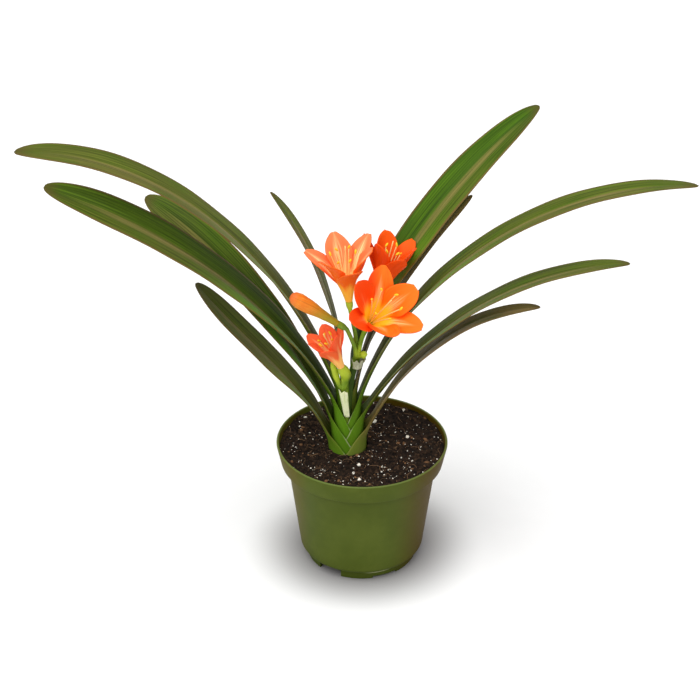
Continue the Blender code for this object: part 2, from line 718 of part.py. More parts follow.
def make_cup(name, foot, direction, shape_rows, wrap, points, parts, shader):
    """A thin sheath round a stalk: rows of an open ring, its last row cut into points."""
    columns = 12
    heights = [row[0] * MM for row in shape_rows]
    radii = [row[1] * MM for row in shape_rows]
    mesh = bpy.data.meshes.new(name)
    shape = bmesh.new()
    bmesh.ops.create_grid(shape, x_segments=columns, y_segments=len(heights) - 1, size=0.5)
    shape.verts.ensure_lookup_table()
    for index, vertex in enumerate(shape.verts):
        row, column = divmod(index, columns + 1)
        angle = math.radians(wrap * (column / columns * 2 - 1) - 90)
        rise = heights[row]
        if row == len(heights) - 1:
            rise -= points * (0.5 + 0.5 * math.cos(column * 2.1))
        vertex.co = (radii[row] * math.cos(angle), radii[row] * math.sin(angle), rise)
    bmesh.ops.triangulate(shape, faces=shape.faces)
    shape.to_mesh(mesh)
    shape.free()
    cup = add_object(name, mesh, parts, shader)
    shell = cup.modifiers.new("Shell", "SOLIDIFY")
    shell.thickness = BRACT_THICKNESS
    shell.offset = 1
    cup = applied(cup)
    cup.data.transform(facing(foot / MM, direction))
    shade_round(cup)
    return cup


def make_bracts(parts):
    """Papery remains of the spathe that held the main umbel."""
    paper = material("Dried_Paper", (0.42, 0.38, 0.26), 0.8)
    foot = SCAPE_TOP + DRIED_OFFSET
    make_cup("Dried_Bracts", foot, DRIED_FACING, DRIED_ROWS, 95, 3 * MM, parts, paper)


def make_spathe(parts):
    """The pale sheath at the front of the second scape."""
    cream = material("Spathe_Cream", (0.62, 0.62, 0.32), 0.6)
    make_cup("Pale_Spathe", SPATHE_FOOT, SPATHE_FACING, SPATHE_ROWS, 60, 2 * MM, parts, cream)


def make_bud(name, foot, direction, length, radius, parts, shader):
    """A closed flower, club-shaped, on its ovary."""
    profile = [(radius * width, length * height) for height, width in BUD_PROFILE]
    bud = applied(turned(name, profile, 12, parts, shader))
    bud.data.transform(facing(foot / MM, direction))
    shade_round(bud)
    return bud


def main():
    for piece in list(bpy.data.objects):
        bpy.data.objects.remove(piece)
    parts = bpy.data.collections.new("Potted_Clivia")
    cutters = bpy.data.collections.new("Cutters")
    bpy.context.scene.collection.children.link(parts)
    bpy.context.scene.collection.children.link(cutters)
    make_pot(parts, cutters)
    make_soil(parts)
    make_rootstock(parts)
    green = material("Leaf_Green", LEAF_GREEN, 0.4)
    for layer, row in enumerate(LEAVES):
        make_leaf(parts, row, layer, green)
    for row in BLOOMS:
        petal = material("Petal_" + row[1], PETAL_COLOURS[row[1]], 0.5)
        make_bloom(parts, row, petal)
    stalk_green = material("Stalk_Green", STALK_GREEN, 0.45)
    make_umbel(parts, stalk_green)
    make_second_scape(parts, stalk_green)
    make_bracts(parts)
    make_spathe(parts)
    orange = material("Bud", (0.75, 0.2, 0.03), 0.5)
    make_bud("Bud_Orange", BUD_FOOT, BUD_FACING, BUD_LENGTH, BUD_RADIUS, parts, orange)


main()
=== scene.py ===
"""The dressed clivia: finer leaves, flowers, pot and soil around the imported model.

Metres, +Z up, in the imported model's own frame. The leaves fan out along X and the flowers face -Y.
"""
import math
import random

import bmesh
import bpy
from mathutils import Matrix, Vector, noise


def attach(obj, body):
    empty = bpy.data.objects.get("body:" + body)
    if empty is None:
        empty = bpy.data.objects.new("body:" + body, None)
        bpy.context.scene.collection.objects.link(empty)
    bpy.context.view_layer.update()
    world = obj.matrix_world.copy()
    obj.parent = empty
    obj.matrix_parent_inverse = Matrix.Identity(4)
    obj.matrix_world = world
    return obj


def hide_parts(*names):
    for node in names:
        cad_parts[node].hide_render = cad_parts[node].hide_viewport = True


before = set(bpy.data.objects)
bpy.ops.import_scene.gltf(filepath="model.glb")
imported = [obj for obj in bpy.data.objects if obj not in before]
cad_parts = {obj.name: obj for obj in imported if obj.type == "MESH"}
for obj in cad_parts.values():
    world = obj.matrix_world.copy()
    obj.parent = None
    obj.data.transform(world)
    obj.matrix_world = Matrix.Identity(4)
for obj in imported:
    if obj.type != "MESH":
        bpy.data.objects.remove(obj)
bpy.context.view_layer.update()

MM = 0.001
GAP = 0.3 * MM

# Pot
POT_HEIGHT = 122 * MM
RIM_RADIUS = 79.5 * MM
BAND_HEIGHT = 20 * MM
BAND_RADIUS = 75.6 * MM
SHOULDER_RADIUS = 69.5 * MM
BASE_RADIUS = 58.5 * MM
CORNER_RADIUS = 6 * MM
FOOT_RADIUS = 53 * MM
FOOT_HEIGHT = 9 * MM
WALL = 1.6 * MM
LIP = 1.1 * MM
POT_STEPS = 144
BAND_EDGE = 0.8 * MM
SHOULDER_EDGE = 0.9 * MM
SEAM_INSET = 0.6 * MM
FOOT_INSET = 1 * MM
FOOT_WALL = 1.4 * WALL
FOOT_EDGE = 0.5 * MM
NOTCH_ANGLES = (-125, -5, 115)
RELIEF_ANGLES = (-65, 55, 175)
NOTCH_WIDTH = 24 * MM
RELIEF_DEPTH = 2.4 * MM
NOTCH_ROOF = 0.7 * MM
CUT_LENGTH = 12 * MM
CUT_ROUNDING = 0.5 * MM
DRAIN_SIZE = (7 * MM, 13 * MM, 6 * MM)
DRAIN_INSET = 5 * MM

# Pot colours
OLIVE_DARK = (0.06, 0.082, 0.008)
OLIVE_LIGHT = (0.076, 0.1, 0.012)
POT_DUST = (0.12, 0.14, 0.05)
# Painted warm shade, browner and darker, on the pot's right side and at its left edge
RIGHT_PAINTED_SHADE = (0.07, 0.04, 0.0008)
LEFT_EDGE_PAINTED_SHADE = (0.1, 0.07, 0.003)
# Painted highlight along the seam at the foot
SEAM_PAINTED_HIGHLIGHT = (0.45, 0.46, 0.26)
LIP_GREEN = (0.14, 0.19, 0.05)
SOIL_SPECK = (0.035, 0.025, 0.015)
SEAM_DROP = 1.9 * MM

# Soil
SOIL_TOP = 112 * MM
SOIL_DEPTH = 8 * MM
SOIL_BANK = 5.5 * MM
SOIL_SPREAD = 0.019
SOIL_SPOKES = 220
SOIL_RINGS = 56
HOLE_ROOM = 0.4 * MM
LUMP_HEIGHT = 2.6 * MM
CRUMB_HEIGHT = 1.5 * MM
PLANT = Vector((-13, 8, 0)) * MM

# Finishes of the grains: pale, dark, and mottles per metre
GRIT_COLOURS = {
    "Perlite": ((0.85, 0.82, 0.72), (0.5, 0.44, 0.33), 900.0),
    "Bark_Chips": ((0.2, 0.1, 0.045), (0.04, 0.02, 0.01), 400.0),
    "Peat_Crumbs": ((0.05, 0.027, 0.014), (0.007, 0.004, 0.0025), 500.0),
    "Peat_Fibres": ((0.22, 0.13, 0.07), (0.05, 0.03, 0.015), 300.0),
}

# Grains on the soil: name, finish, number per square metre, smallest and largest in mm, flatness,
# subdivisions and seed
GRAINS = (
    ("Perlite_Fine", "Perlite", 17000.0, 0.6, 1.7, 0.8, 1, 3),
    ("Perlite_Coarse", "Perlite", 420.0, 2.2, 6.6, 0.7, 2, 9),
    ("Bark", "Bark_Chips", 4200.0, 1.2, 5.5, 0.45, 1, 5),
    ("Crumbs", "Peat_Crumbs", 60000.0, 0.8, 3.0, 0.8, 1, 7),
)
FIBRE_DENSITY = 5200.0
FIBRE_LENGTH = 11 * MM
FIBRE_THICKNESS = 0.2 * MM
FIBRE_SEED = 4
GRAIN_LENGTH = 1.35
GRAIN_ROUGHNESS = 2.2 * MM
# Grains lie on faces whose normal has more Z than this
UPWARD = 0.3

# Nested leaf bases
SHEATH_BOTTOM = 84 * MM
STEM_HALF_WIDTH = 18.5 * MM
STEM_HALF_DEPTH = 19.5 * MM
LAYER_STEP = 1.3 * MM
SECOND_SCAPE_LAYER = 6
MAIN_SCAPE_LAYER = 7
SECOND_SCAPE_ROOM = 3.0 * MM
MAIN_SCAPE_ROOM = 4.0 * MM
# Degrees that each half of a sheath reaches round the stem, and the least of it at the neck
SHEATH_WRAP = 112.5
NECK_WRAP = 50
KEEL_THICKNESS = 2.1 * MM
LEAF_COLUMNS = 26
SHEATH_ROWS = 10
BLADE_ROWS = 72
SPINE_STEPS = 360
SETTLE_RUN = 34 * MM
SECOND_SCAPE_SIDE = 0.3 * MM
MAIN_SCAPE_SIDE = 0.6 * MM
# Degrees that each half of a leaf folds up from its midrib
NECK_FOLD = 58
BLADE_FOLD = 17
# Thickness as a share of the keel's: at the middle and at the edge
SHEATH_THICKNESS = (0.85, 0.3)
BLADE_THICKNESS = (0.62, 0.2)
NECK_SHARE = 0.44
WIDEST = 0.55
RIPPLE_HEIGHT = 0.2 * MM

# Leaves from the outermost inward: name, side, height of the sheath's front edge above the soil in
# mm, blade length, width, elevation (neck, middle, tip), swing (middle, tip), roll (middle, tip),
# and how bronzed it is
LEAVES = (
    ("Leaf_Left_4", -1, -4, 205, 38, (73, 48, 52), (8, 12), (0, 0), 0.35),
    ("Leaf_Right_5", 1, 2, 228, 26, (67, 47, 7), (-6, -8), (0, 0), 0.95),
    ("Leaf_Left_3", -1, 12, 287, 37, (73, 48, 25), (24, 21), (10, 42), 0.15),
    ("Leaf_Right_4", 1, 18, 313, 32, (62, 40, 9), (-10, -12), (0, 0), 0.25),
    ("Leaf_Left_2", -1, 29, 360, 47, (67, 44, 26), (-10, -12), (12, 24), 0.1),
    ("Leaf_Right_3", 1, 31, 404, 34, (76, 39, -2), (0, 0), (0, 0), 0.25),
    ("Leaf_Left_1", -1, 40, 404, 40, (71, 46.5, 0), (-3, -5), (0, 14), 0.3),
    ("Leaf_Right_2", 1, 46, 226, 22, (85, 60, 40), (16, 22), (0, 0), 0.85),
    ("Leaf_Left_5", -1, 52, 212, 20, (90, 74, 50), (8, 12), (0, 0), 0.35),
    ("Leaf_Right_1", 1, 56, 319, 42, (87, 52, 37), (25, 15), (8, 8), 0.0),
)

# Leaf colours
YOUNG_STREAK = (0.11, 0.21, 0.012)
CLOUD_GREEN = (0.02, 0.06, 0.01)
SHADED_GREEN = (0.006, 0.014, 0.002)
LIT_GREEN = (0.12, 0.3, 0.006)
BRONZE_DARK = (0.1, 0.075, 0.016)
BRONZE_LIGHT = (0.3, 0.21, 0.06)
# Painted light on the front half of strongly bronzed leaves
BRONZE_PAINTED_LIGHT = (0.4, 0.26, 0.1)
MIDRIB_TAN = (0.27, 0.21, 0.065)
MARGIN_BROWN = (0.17, 0.1, 0.03)
TIP_BROWN = (0.1, 0.06, 0.02)
SHEATH_GREEN = (0.085, 0.2, 0.008)
SHEATH_RIM = (0.45, 0.48, 0.26)
MIDRIB_PLACE = 0.16

# Flower stalks
SCAPE_TOP = Vector((-4, -5, 217)) * MM
SCAPE_RADIUS = 3.4 * MM
SCAPE_FLATNESS = 0.53
SECOND_TOP = Vector((-17, -8, 182)) * MM
SECOND_RADIUS = 3.0 * MM
SECOND_FLATNESS = 0.45
PEDICEL_RADIUS = 1.9 * MM
OVARY_RADIUS = 3.2 * MM
OVARY_LENGTH = 11 * MM
OVARY_MIDDLE = 6 * MM
SCAPE_HEAD = 3 * MM
SEAT_DEPTH = 0.6 * MM
SWELL_REACH = 4 * MM
SWELL_FADE = 8 * MM
# The ovary: place back from the bloom as a share of its length, and share of its radius
OVARY_SWELL = ((0.85, 0.72), (0.7, 0.9), (0.5, 1), (0.3, 1.02), (0.12, 0.95), (0, 0.82))
# The low bloom's ovary, in mm: radii of the stalk up to it, then place back from the bloom and radius
LOW_STALK_RADII = (2.2, 2.7, 3.3, 4.0, 4.6)
LOW_STALK_END = 12 * MM
LOW_OVARY = ((10, 5.0), (8, 5.2), (6, 5.1), (4, 4.8), (2, 4.2), (0, 3.0))

# Blooms: name, record slot, foot in mm, facing, turn about its axis in degrees, tepal length in mm,
# lean at foot, middle and tip in degrees, and tepal width in mm
BLOOMS = (
    ("Bloom_Left", "petal_salmon", (-12, -12, 275), (-0.1, -0.16, 1), 20, 62, (10, 24, 46), 26),
    ("Bloom_Right", "petal_vermilion", (13, 4, 269), (0.26, 0.02, 1), 12, 60, (8, 20, 28), 24),
    ("Bloom_Front", "petal_orange", (6, -29, 261), (0.4, -0.75, 0.95), 12, 57, (14, 34, 44), 30),
    ("Bloom_Low", "petal_coral", (-19, -13, 208), (-0.44, -0.2, 1), 30, 42, (8, 20, 26), 19),
)
TUBE_RADIUS = 3.0 * MM
FUSED_SHARE = 2 / 7
TEPAL_COLUMNS = 14
TEPAL_ROWS = 35
TEPAL_THICKNESS = 0.7 * MM
TEPAL_OVERLAP = 0.25 * MM
OUTER_WIDTH = 0.84
# Lean added to the inner and to the outer tepals, in degrees
TEPAL_LEANS = (-4, 8)
# Degrees that each half of a tepal takes up of the bloom's round: in the tube and at most
TUBE_SPREAD = 30
WIDEST_SPREAD = 46
GROOVE_DEPTH = 0.5 * MM
GROOVE_WIDTH = 0.16
CURL_HEIGHT = 0.7 * MM
FILAMENT_RADIUS = 0.5 * MM
STAMENS = 6
STAMEN_STEPS = 14
ANTHER_LENGTH = 4.4 * MM
ANTHER_RADIUS = 0.95 * MM
ANTHER_SWELL = (0.35, 0.8, 1.0, 1.05, 1.0, 0.8, 0.35)

# Finishes of the tepals by record slot: name, tip, body, shade, throat and flare, how far the flare
# and the throat reach, and where along X a bloom's painted left-side shade starts to fade and ends, in
# metres
PETALS_OUTSIDE = {
    "petal_salmon": (
        "Salmon_Outside", (0.8, 0.12, 0.012), (0.8, 0.13, 0.008), (0.66, 0.05, 0.004),
        (0.85, 0.42, 0.04), (0.85, 0.3, 0.04), 0.5, 0.5,
    ),
    "petal_vermilion": (
        "Vermilion_Outside", (0.78, 0.07, 0.003), (0.72, 0.065, 0.002), (0.4, 0.01, 0.001),
        (0.62, 0.2, 0.01), (0.75, 0.17, 0.01), 0.4, 0.42,
    ),
    "petal_orange": (
        "Orange_Outside", (0.85, 0.08, 0.003), (0.8, 0.06, 0.002), (0.6, 0.02, 0.001),
        (0.85, 0.36, 0.02), (0.85, 0.3, 0.03), 0.4, 0.45,
    ),
    "petal_coral": (
        "Coral_Outside", (0.82, 0.1, 0.03), (0.8, 0.12, 0.03), (0.55, 0.02, 0.015),
        (0.85, 0.45, 0.12), (0.9, 0.45, 0.18), 0.8, 0.5,
    ),
}
PETALS_INSIDE = {
    "petal_salmon": (
        "Salmon_Inside", (0.9, 0.2, 0.075), (0.9, 0.19, 0.055), (0.74, 0.09, 0.02),
        (0.97, 0.75, 0.3), (0.98, 0.78, 0.36), 1.05, 0.55,
    ),
    "petal_vermilion": (
        "Vermilion_Inside", (0.82, 0.1, 0.004), (0.75, 0.07, 0.003), (0.42, 0.01, 0.001),
        (0.75, 0.3, 0.02), (0.8, 0.2, 0.03), 0.5, 0.42, (0.003, 0.022),
    ),
    "petal_orange": (
        "Orange_Inside", (0.95, 0.17, 0.014), (0.95, 0.15, 0.004), (0.74, 0.035, 0.002),
        (0.97, 0.58, 0.02), (0.98, 0.66, 0.26), 0.85, 0.58, (0.006, 0.019),
    ),
    "petal_coral": (
        "Coral_Inside", (0.88, 0.13, 0.04), (0.88, 0.16, 0.05), (0.62, 0.025, 0.015),
        (0.93, 0.58, 0.22), (0.95, 0.62, 0.3), 0.9, 0.5,
    ),
}

BUD_FOOT = Vector((-22, -20, 256)) * MM
BUD_FACING = Vector((-0.76, -0.15, 0.6))
BUD_LENGTH = 52 * MM
BUD_RADIUS = 7 * MM
# The closed bud's form: share of its length, and share of its radius there
BUD_ROWS = (
    (0, 0.42), (0.12, 0.46), (0.35, 0.62), (0.62, 0.92),
    (0.82, 1.0), (0.93, 0.8), (0.985, 0.45), (1.0, 0.02),
)
BUD_SIDES = 48
BUD_STEPS = 44
# Green buds: places above the head of their scape, and radii in mm along them
SMALL_BUD_REACH = Vector((5, -5, 3)) * MM
SMALL_BUD_RISE = Vector((0.6, -0.6, 5)) * MM
SMALL_BUD_RADII = (1.7, 1.5, 1.6, 2.2, 3.0, 3.3, 2.9, 1.6)
GREEN_BUD_REACH = ((0, 0, 0), (-4, -1, 8), (-7, -1, 18), (-9, -1, 27), (-10, -1, 33))
GREEN_BUD_RADII = (1.8, 2.2, 3.0, 3.0, 1.2)

# Dried bracts and spathe: their radius in mm at each height in mm
DRIED_OFFSET = Vector((-1.4, -0.8, -13)) * MM
DRIED_FACING = (0.12, -0.1, 1)
DRIED_ROWS = ((0, 4.6), (4, 4.8), (8, 6.0), (12, 7.6))
SPATHE_FOOT = Vector((-13, -5, 152)) * MM
SPATHE_FACING = (-0.09, -0.13, 1)
SPATHE_ROWS = ((0, 3.4), (10, 4.0), (22, 4.8), (32, 5.4))
CUP_COLUMNS = 54
CUP_ROWS = 22
PAPER_THICKNESS = 0.35 * MM

# Camera fitted to the pot in the photograph
CAMERA_PLACE = Vector((0, -1.3434, 0.98908))
CAMERA_PITCH = 29.862
CAMERA_YAW = 0.476
CAMERA_LENS = 88.34
SENSOR_WIDTH = 36

# Studio
FLOOR_HALF = 6
WORLD_STRENGTH = 0.5
# Lamps: name, place that it shines from, spread in degrees, strength
LAMPS = (
    ("Key", (-0.6, -0.75, 1.6), 70, 2.5),
    ("Fill", (0.9, -0.6, 1.4), 80, 0.7),
)


def smooth(value):
    value = min(max(value, 0.0), 1.0)
    return value * value * (3 - 2 * value)


def mix(low, high, share):
    return low + (high - low) * share


def through(start, middle, end, share):
    """The parabola through three values at 0, 1/2 and 1."""
    bend = 2 * (start + end) - 4 * middle
    return start + (end - start - bend) * share + bend * share * share


def along_rows(rows, height):
    """A value read off (height, value) rows, straight between them."""
    for (low, first), (high, second) in zip(rows, rows[1:]):
        if height <= high:
            return mix(first, second, (height - low) / (high - low))
    return rows[-1][1]


# Shader maths


class Field:
    """A shader value, so that maths on it reads as arithmetic."""

    def __init__(self, paint, socket):
        self.paint = paint
        self.socket = socket

    def math(self, operation, *values):
        return self.paint.node("ShaderNodeMath", {"operation": operation}, dict(enumerate(values)))

    def __add__(self, other):
        return self.math("ADD", self, other)

    def __radd__(self, other):
        return self.math("ADD", other, self)

    def __sub__(self, other):
        return self.math("SUBTRACT", self, other)

    def __rsub__(self, other):
        return self.math("SUBTRACT", other, self)

    def __mul__(self, other):
        return self.math("MULTIPLY", self, other)

    def __rmul__(self, other):
        return self.math("MULTIPLY", other, self)

    def __abs__(self):
        return self.math("ABSOLUTE", self)

    def least(self, other):
        return self.math("MINIMUM", self, other)

    def rise(self, low, high):
        """0 below low, 1 above high, eased between."""
        settings = {"interpolation_type": "SMOOTHSTEP"}
        return self.paint.node("ShaderNodeMapRange", settings, {0: self, 1: low, 2: high})


class Paint:
    """A procedural material."""

    def __init__(self, name):
        self.material = bpy.data.materials.new(name)
        self.material.use_nodes = True
        self.tree = self.material.node_tree
        self.surface = self.tree.nodes["Principled BSDF"]

    def put(self, socket, value):
        if isinstance(value, Field):
            self.tree.links.new(value.socket, socket)
        elif isinstance(value, tuple) and len(value) == 3 and socket.type == "RGBA":
            socket.default_value = (*value, 1)
        else:
            socket.default_value = value

    def node(self, kind, settings, sockets, output=0):
        made = self.tree.nodes.new(kind)
        for key, value in settings.items():
            setattr(made, key, value)
        for key, value in sockets.items():
            self.put(made.inputs[key], value)
        return Field(self, made.outputs[output])

    def place(self):
        """Object coordinates in metres."""
        return self.node("ShaderNodeTexCoord", {}, {}, "Object")

    def attribute(self, name, output="Vector"):
        return self.node("ShaderNodeAttribute", {"attribute_name": name}, {}, output)

    def split(self, vector):
        """The three numbers of a vector."""
        first = self.node("ShaderNodeSeparateXYZ", {}, {0: vector})
        return [Field(self, socket) for socket in first.socket.node.outputs]

    def join(self, x, y, z):
        return self.node("ShaderNodeCombineXYZ", {}, {0: x, 1: y, 2: z})

    def grain(self, vector, scale, detail=2.0, roughness=0.5):
        sockets = {"Vector": vector, "Scale": scale, "Detail": detail, "Roughness": roughness}
        return self.node("ShaderNodeTexNoise", {}, sockets)

    def cells(self, vector, scale):
        return self.node("ShaderNodeTexVoronoi", {}, {"Vector": vector, "Scale": scale})

    def blend(self, first, second, factor):
        """Colour first going to second."""
        return self.node("ShaderNodeMix", {"data_type": "RGBA"}, {0: factor, 6: first, 7: second}, 2)

    def coats(self, colour, *coats):
        """A colour with others laid over it, each through its own mask."""
        for other, mask in coats:
            colour = self.blend(colour, other, mask)
        return colour

    def relief(self, height, strength, depth):
        sockets = {"Strength": strength, "Distance": depth, "Height": height}
        return self.node("ShaderNodeBump", {}, sockets)

    def finish(self, **sockets):
        for name, value in sockets.items():
            self.put(self.surface.inputs[name.replace("_", " ")], value)
        return self.material


def leaf_paint(name, underside=False):
    """Waxy green with lengthwise veins, a tan midrib and bronzed margins, and painted light and shade."""
    paint = Paint(name)
    across, run, share = paint.split(paint.attribute("strip"))
    bronze, half, own = paint.split(paint.attribute("leaf"))
    edge = abs(across)
    thread = paint.grain(paint.join(across * half * 900, run * 9, own), 1.0, 3.0, 0.6)
    fine = paint.grain(paint.join(across * half * 2600, run * 14, own + 3), 1.0, 2.0, 0.5)
    cloud = paint.grain(paint.join(across * half * 60, run * 22, own + 7), 1.0, 3.0, 0.55)
    front = (0 - across).rise(0.1, 0.6)
    # The underside's greens are painted lighter, as painted light on the undersides
    deep = (0.06, 0.14, 0.006) if underside else (0.018, 0.044, 0.003)
    bright = (0.14, 0.27, 0.015) if underside else (0.075, 0.165, 0.006)
    green = paint.coats(
        paint.blend(deep, bright, thread.rise(0.3, 0.72)),
        (YOUNG_STREAK, fine.rise(0.5, 0.8) * 0.5),
        (CLOUD_GREEN, cloud.rise(0.45, 0.75) * 0.4),
        (SHADED_GREEN, (1 - front) * (1 - share.rise(0.1, 0.6)) * 0.6),
        (LIT_GREEN, front * (1 - share.rise(0.35, 0.65)) * 0.7),
    )
    # Painted light: a paler bronze on the front half of strongly bronzed leaves
    bronzed = bronze.rise(0.6, 1.0) * front.rise(0.0, 0.5)
    olive = paint.blend(BRONZE_DARK, BRONZE_LIGHT, thread.rise(0.3, 0.75))
    olive = paint.blend(olive, BRONZE_PAINTED_LIGHT, bronzed * 0.6)
    aged = share.rise(0.25, 0.6) * 0.35 if underside else front * share.rise(0.3, 0.6) * 0.2
    turning = ((bronze * 1.1 + aged) * cloud.rise(0.1, 0.6)).least(0.9)
    reach = share.rise(0.06, 0.3) * (1 - share.rise(0.78, 0.97))
    midrib = (1 - abs(across + MIDRIB_PLACE).rise(0.08, 0.3)) * reach * thread.rise(0.25, 0.65)
    margin = edge.rise(0.86, 0.97) * share.rise(0.0, 0.12)
    young = (1 - share.rise(0.0, 0.12)) * thread.rise(0.1, 0.5) * cloud.rise(0.2, 0.5)
    rim = edge.rise(0.95, 0.985) * (1 - share.rise(0.0, 0.03)) * cloud.rise(0.35, 0.5)
    body = paint.coats(
        paint.blend(green, olive, turning),
        (MIDRIB_TAN, midrib * 0.85),
        (MARGIN_BROWN, margin * 0.8),
        (TIP_BROWN, share.rise(0.95, 1.0) * 0.6),
        (SHEATH_GREEN, young * 0.75),
        (SHEATH_RIM, rim * 0.7),
    )
    gloss = 0.34 + 0.2 * thread
    if underside:
        gloss = gloss + 0.1
    height = thread * 0.6 + fine * 0.4
    return paint.finish(
        Base_Color=body,
        Roughness=gloss,
        Normal=paint.relief(height, 0.35, 0.0005),
        Specular_IOR_Level=0.07,
    )


def petal_paint(name, tip, body, shade, throat, flare, flare_reach, throat_reach, shade_side_x=None):
    """Satin petal: veined and streaked deeper, to a pale or yellow throat, with painted glow and shade."""
    paint = Paint(name)
    across, share, own = paint.split(paint.attribute("tepal"))
    edge = abs(across)
    thread = paint.grain(paint.join(across * 15, share * 2.2, own), 1.0, 3.0, 0.55)
    cloud = paint.grain(paint.join(across * 1.4, share * 3, own + 5), 1.0, 2.0, 0.5)
    wedge = (1 - (edge * 0.7 + share * 0.9).rise(flare_reach - 0.4, flare_reach)) * thread.rise(0.3, 0.62)
    cup = 1 - (share + edge * 0.12).rise(throat_reach - 0.22, throat_reach)
    colour = paint.coats(
        body,
        (tip, share.rise(0.45, 0.95) * 0.8),
        (shade, thread.rise(0.5, 0.85) * 0.4),
        (shade, cloud.rise(0.5, 0.9) * 0.4),
        (flare, wedge * 0.85),
        (throat, cup * 0.92),
    )
    # Painted shade: the tepals left of the given X are darkened towards the shade colour
    if shade_side_x:
        x = paint.split(paint.place())[0]
        colour = paint.blend(colour, shade, (1 - x.rise(*shade_side_x)) * share.rise(0.3, 0.6) * 0.8)
    height = thread * 0.7 + cloud * 0.3
    return paint.finish(
        Base_Color=colour,
        Roughness=0.46 + 0.12 * thread,
        Normal=paint.relief(height, 0.3, 0.0006),
        Specular_IOR_Level=0.12,
        # Painted glow: the tepals give off a little light in their own colour
        Emission_Color=colour,
        Emission_Strength=0.14,
    )


def stalk_paint(name, dark, light, pale):
    """Smooth green stem with faint lengthwise streaks, paler swellings and painted shade low on its right.
    """
    paint = Paint(name)
    x, y, z = paint.split(paint.place())
    streak = paint.grain(paint.join(x * 900, y * 900, z * 30), 1.0, 3.0, 0.5)
    cloud = paint.grain(paint.place(), 45.0, 2.0)
    colour = paint.blend(dark, light, (streak * 0.6 + cloud * 0.6).rise(0.35, 0.8))
    # Painted shade: dark green on the scapes below about 200 mm, right of X -12.5 mm
    painted_shade_low = 1 - z.rise(0.198, 0.212)
    colour = paint.blend(colour, (0.018, 0.045, 0.006), painted_shade_low * x.rise(-0.0135, -0.0115) * 0.85)
    colour = paint.blend(colour, pale, paint.attribute("swell", "Fac") * 0.8)
    return paint.finish(
        Base_Color=colour,
        Roughness=0.4 + 0.1 * cloud,
        Normal=paint.relief(streak, 0.25, 0.0004),
        Specular_IOR_Level=0.2,
    )


def paper_paint(name, light, dark, streak_scale):
    """Dry papery skin with lengthwise fibres and brown flecks."""
    paint = Paint(name)
    x, y, z = paint.split(paint.place())
    fibre = paint.grain(paint.join(x * streak_scale, y * streak_scale, z * 40), 1.0, 4.0, 0.6)
    fleck = paint.grain(paint.place(), 420.0, 2.0)
    colour = paint.blend(dark, light, fibre.rise(0.2, 0.6))
    colour = paint.blend(colour, dark, fleck.rise(0.62, 0.75) * 0.4)
    return paint.finish(
        Base_Color=colour,
        Roughness=0.62 + 0.2 * fibre,
        Normal=paint.relief(fibre + fleck * 0.4, 0.6, 0.0005),
    )


def bud_paint(name):
    """Orange above, olive yellow below, streaked along the folded tepals."""
    paint = Paint(name)
    across, share, own = paint.split(paint.attribute("tepal"))
    thread = paint.grain(paint.join(across * 16, share * 3, own), 1.0, 3.0, 0.55)
    base = 1 - (share + thread * 0.25).rise(0.3, 0.9)
    fold = 1 - abs(across).rise(0.0, 0.12)
    colour = paint.coats(
        paint.blend((0.75, 0.17, 0.01), (0.8, 0.3, 0.04), thread.rise(0.35, 0.7)),
        ((0.33, 0.26, 0.015), base),
        ((0.7, 0.14, 0.03), (share + thread * 0.2).rise(0.95, 1.12)),
        ((0.45, 0.13, 0.02), fold * 0.5),
    )
    return paint.finish(
        Base_Color=colour,
        Roughness=0.4 + 0.12 * thread,
        Normal=paint.relief(thread, 0.3, 0.0005),
        Specular_IOR_Level=0.15,
    )


def pollen_paint(name, light, dark, roughness):
    """Powdery yellow, for the anthers and the filaments."""
    paint = Paint(name)
    dust = paint.grain(paint.place(), 2400.0, 3.0)
    colour = paint.blend(dark, light, dust.rise(0.3, 0.65))
    return paint.finish(
        Base_Color=colour,
        Roughness=roughness + 0.2 * dust,
        Normal=paint.relief(dust, 0.4, 0.0002),
    )


def pot_paint(name):
    """Moulded olive plastic with dust, a lighter lip and soil specks; painted side shade and seam
    highlight.
    """
    paint = Paint(name)
    x, y, z = paint.split(paint.place())
    mottle = paint.grain(paint.place(), 26.0, 4.0, 0.6)
    dust = paint.grain(paint.join(x * 60, y * 60, z * 160), 1.0, 4.0, 0.65)
    speck = paint.cells(paint.place(), 260.0)
    # Painted highlight: a broken pale line along the seam, on the pot's right front
    highlight_breakup = paint.grain(paint.place(), 110.0).rise(0.4, 0.6)
    seam = (1 - abs(z - FOOT_HEIGHT + SEAM_DROP).rise(0.0004, 0.0011)) * x.rise(0.0, 0.015) * highlight_breakup
    grit = (1 - speck.rise(0.06, 0.12)) * paint.grain(paint.place(), 38.0, 1.0).rise(0.62, 0.72)
    colour = paint.coats(
        paint.blend(OLIVE_DARK, OLIVE_LIGHT, mottle.rise(0.35, 0.7)),
        (POT_DUST, dust.rise(0.6, 0.9) * 0.2),
        # Painted warm shade on the right side and at the left edge
        (RIGHT_PAINTED_SHADE, (x + y * 0.3).rise(0.005, 0.056) * 0.95),
        (LEFT_EDGE_PAINTED_SHADE, (0 - x).rise(0.045, 0.066) * 0.7),
        (SEAM_PAINTED_HIGHLIGHT, seam * 0.8),
        (LIP_GREEN, z.rise(POT_HEIGHT - 0.0012, POT_HEIGHT - 0.0002) * 0.6),
        (SOIL_SPECK, grit * 0.8),
    )
    grain = paint.grain(paint.place(), 900.0, 3.0)
    return paint.finish(
        Base_Color=colour,
        Roughness=0.4 + 0.16 * mottle + 0.1 * dust,
        Normal=paint.relief(grain * 0.6 + dust * 0.4, 0.12, 0.0005),
        Specular_IOR_Level=0.09,
    )


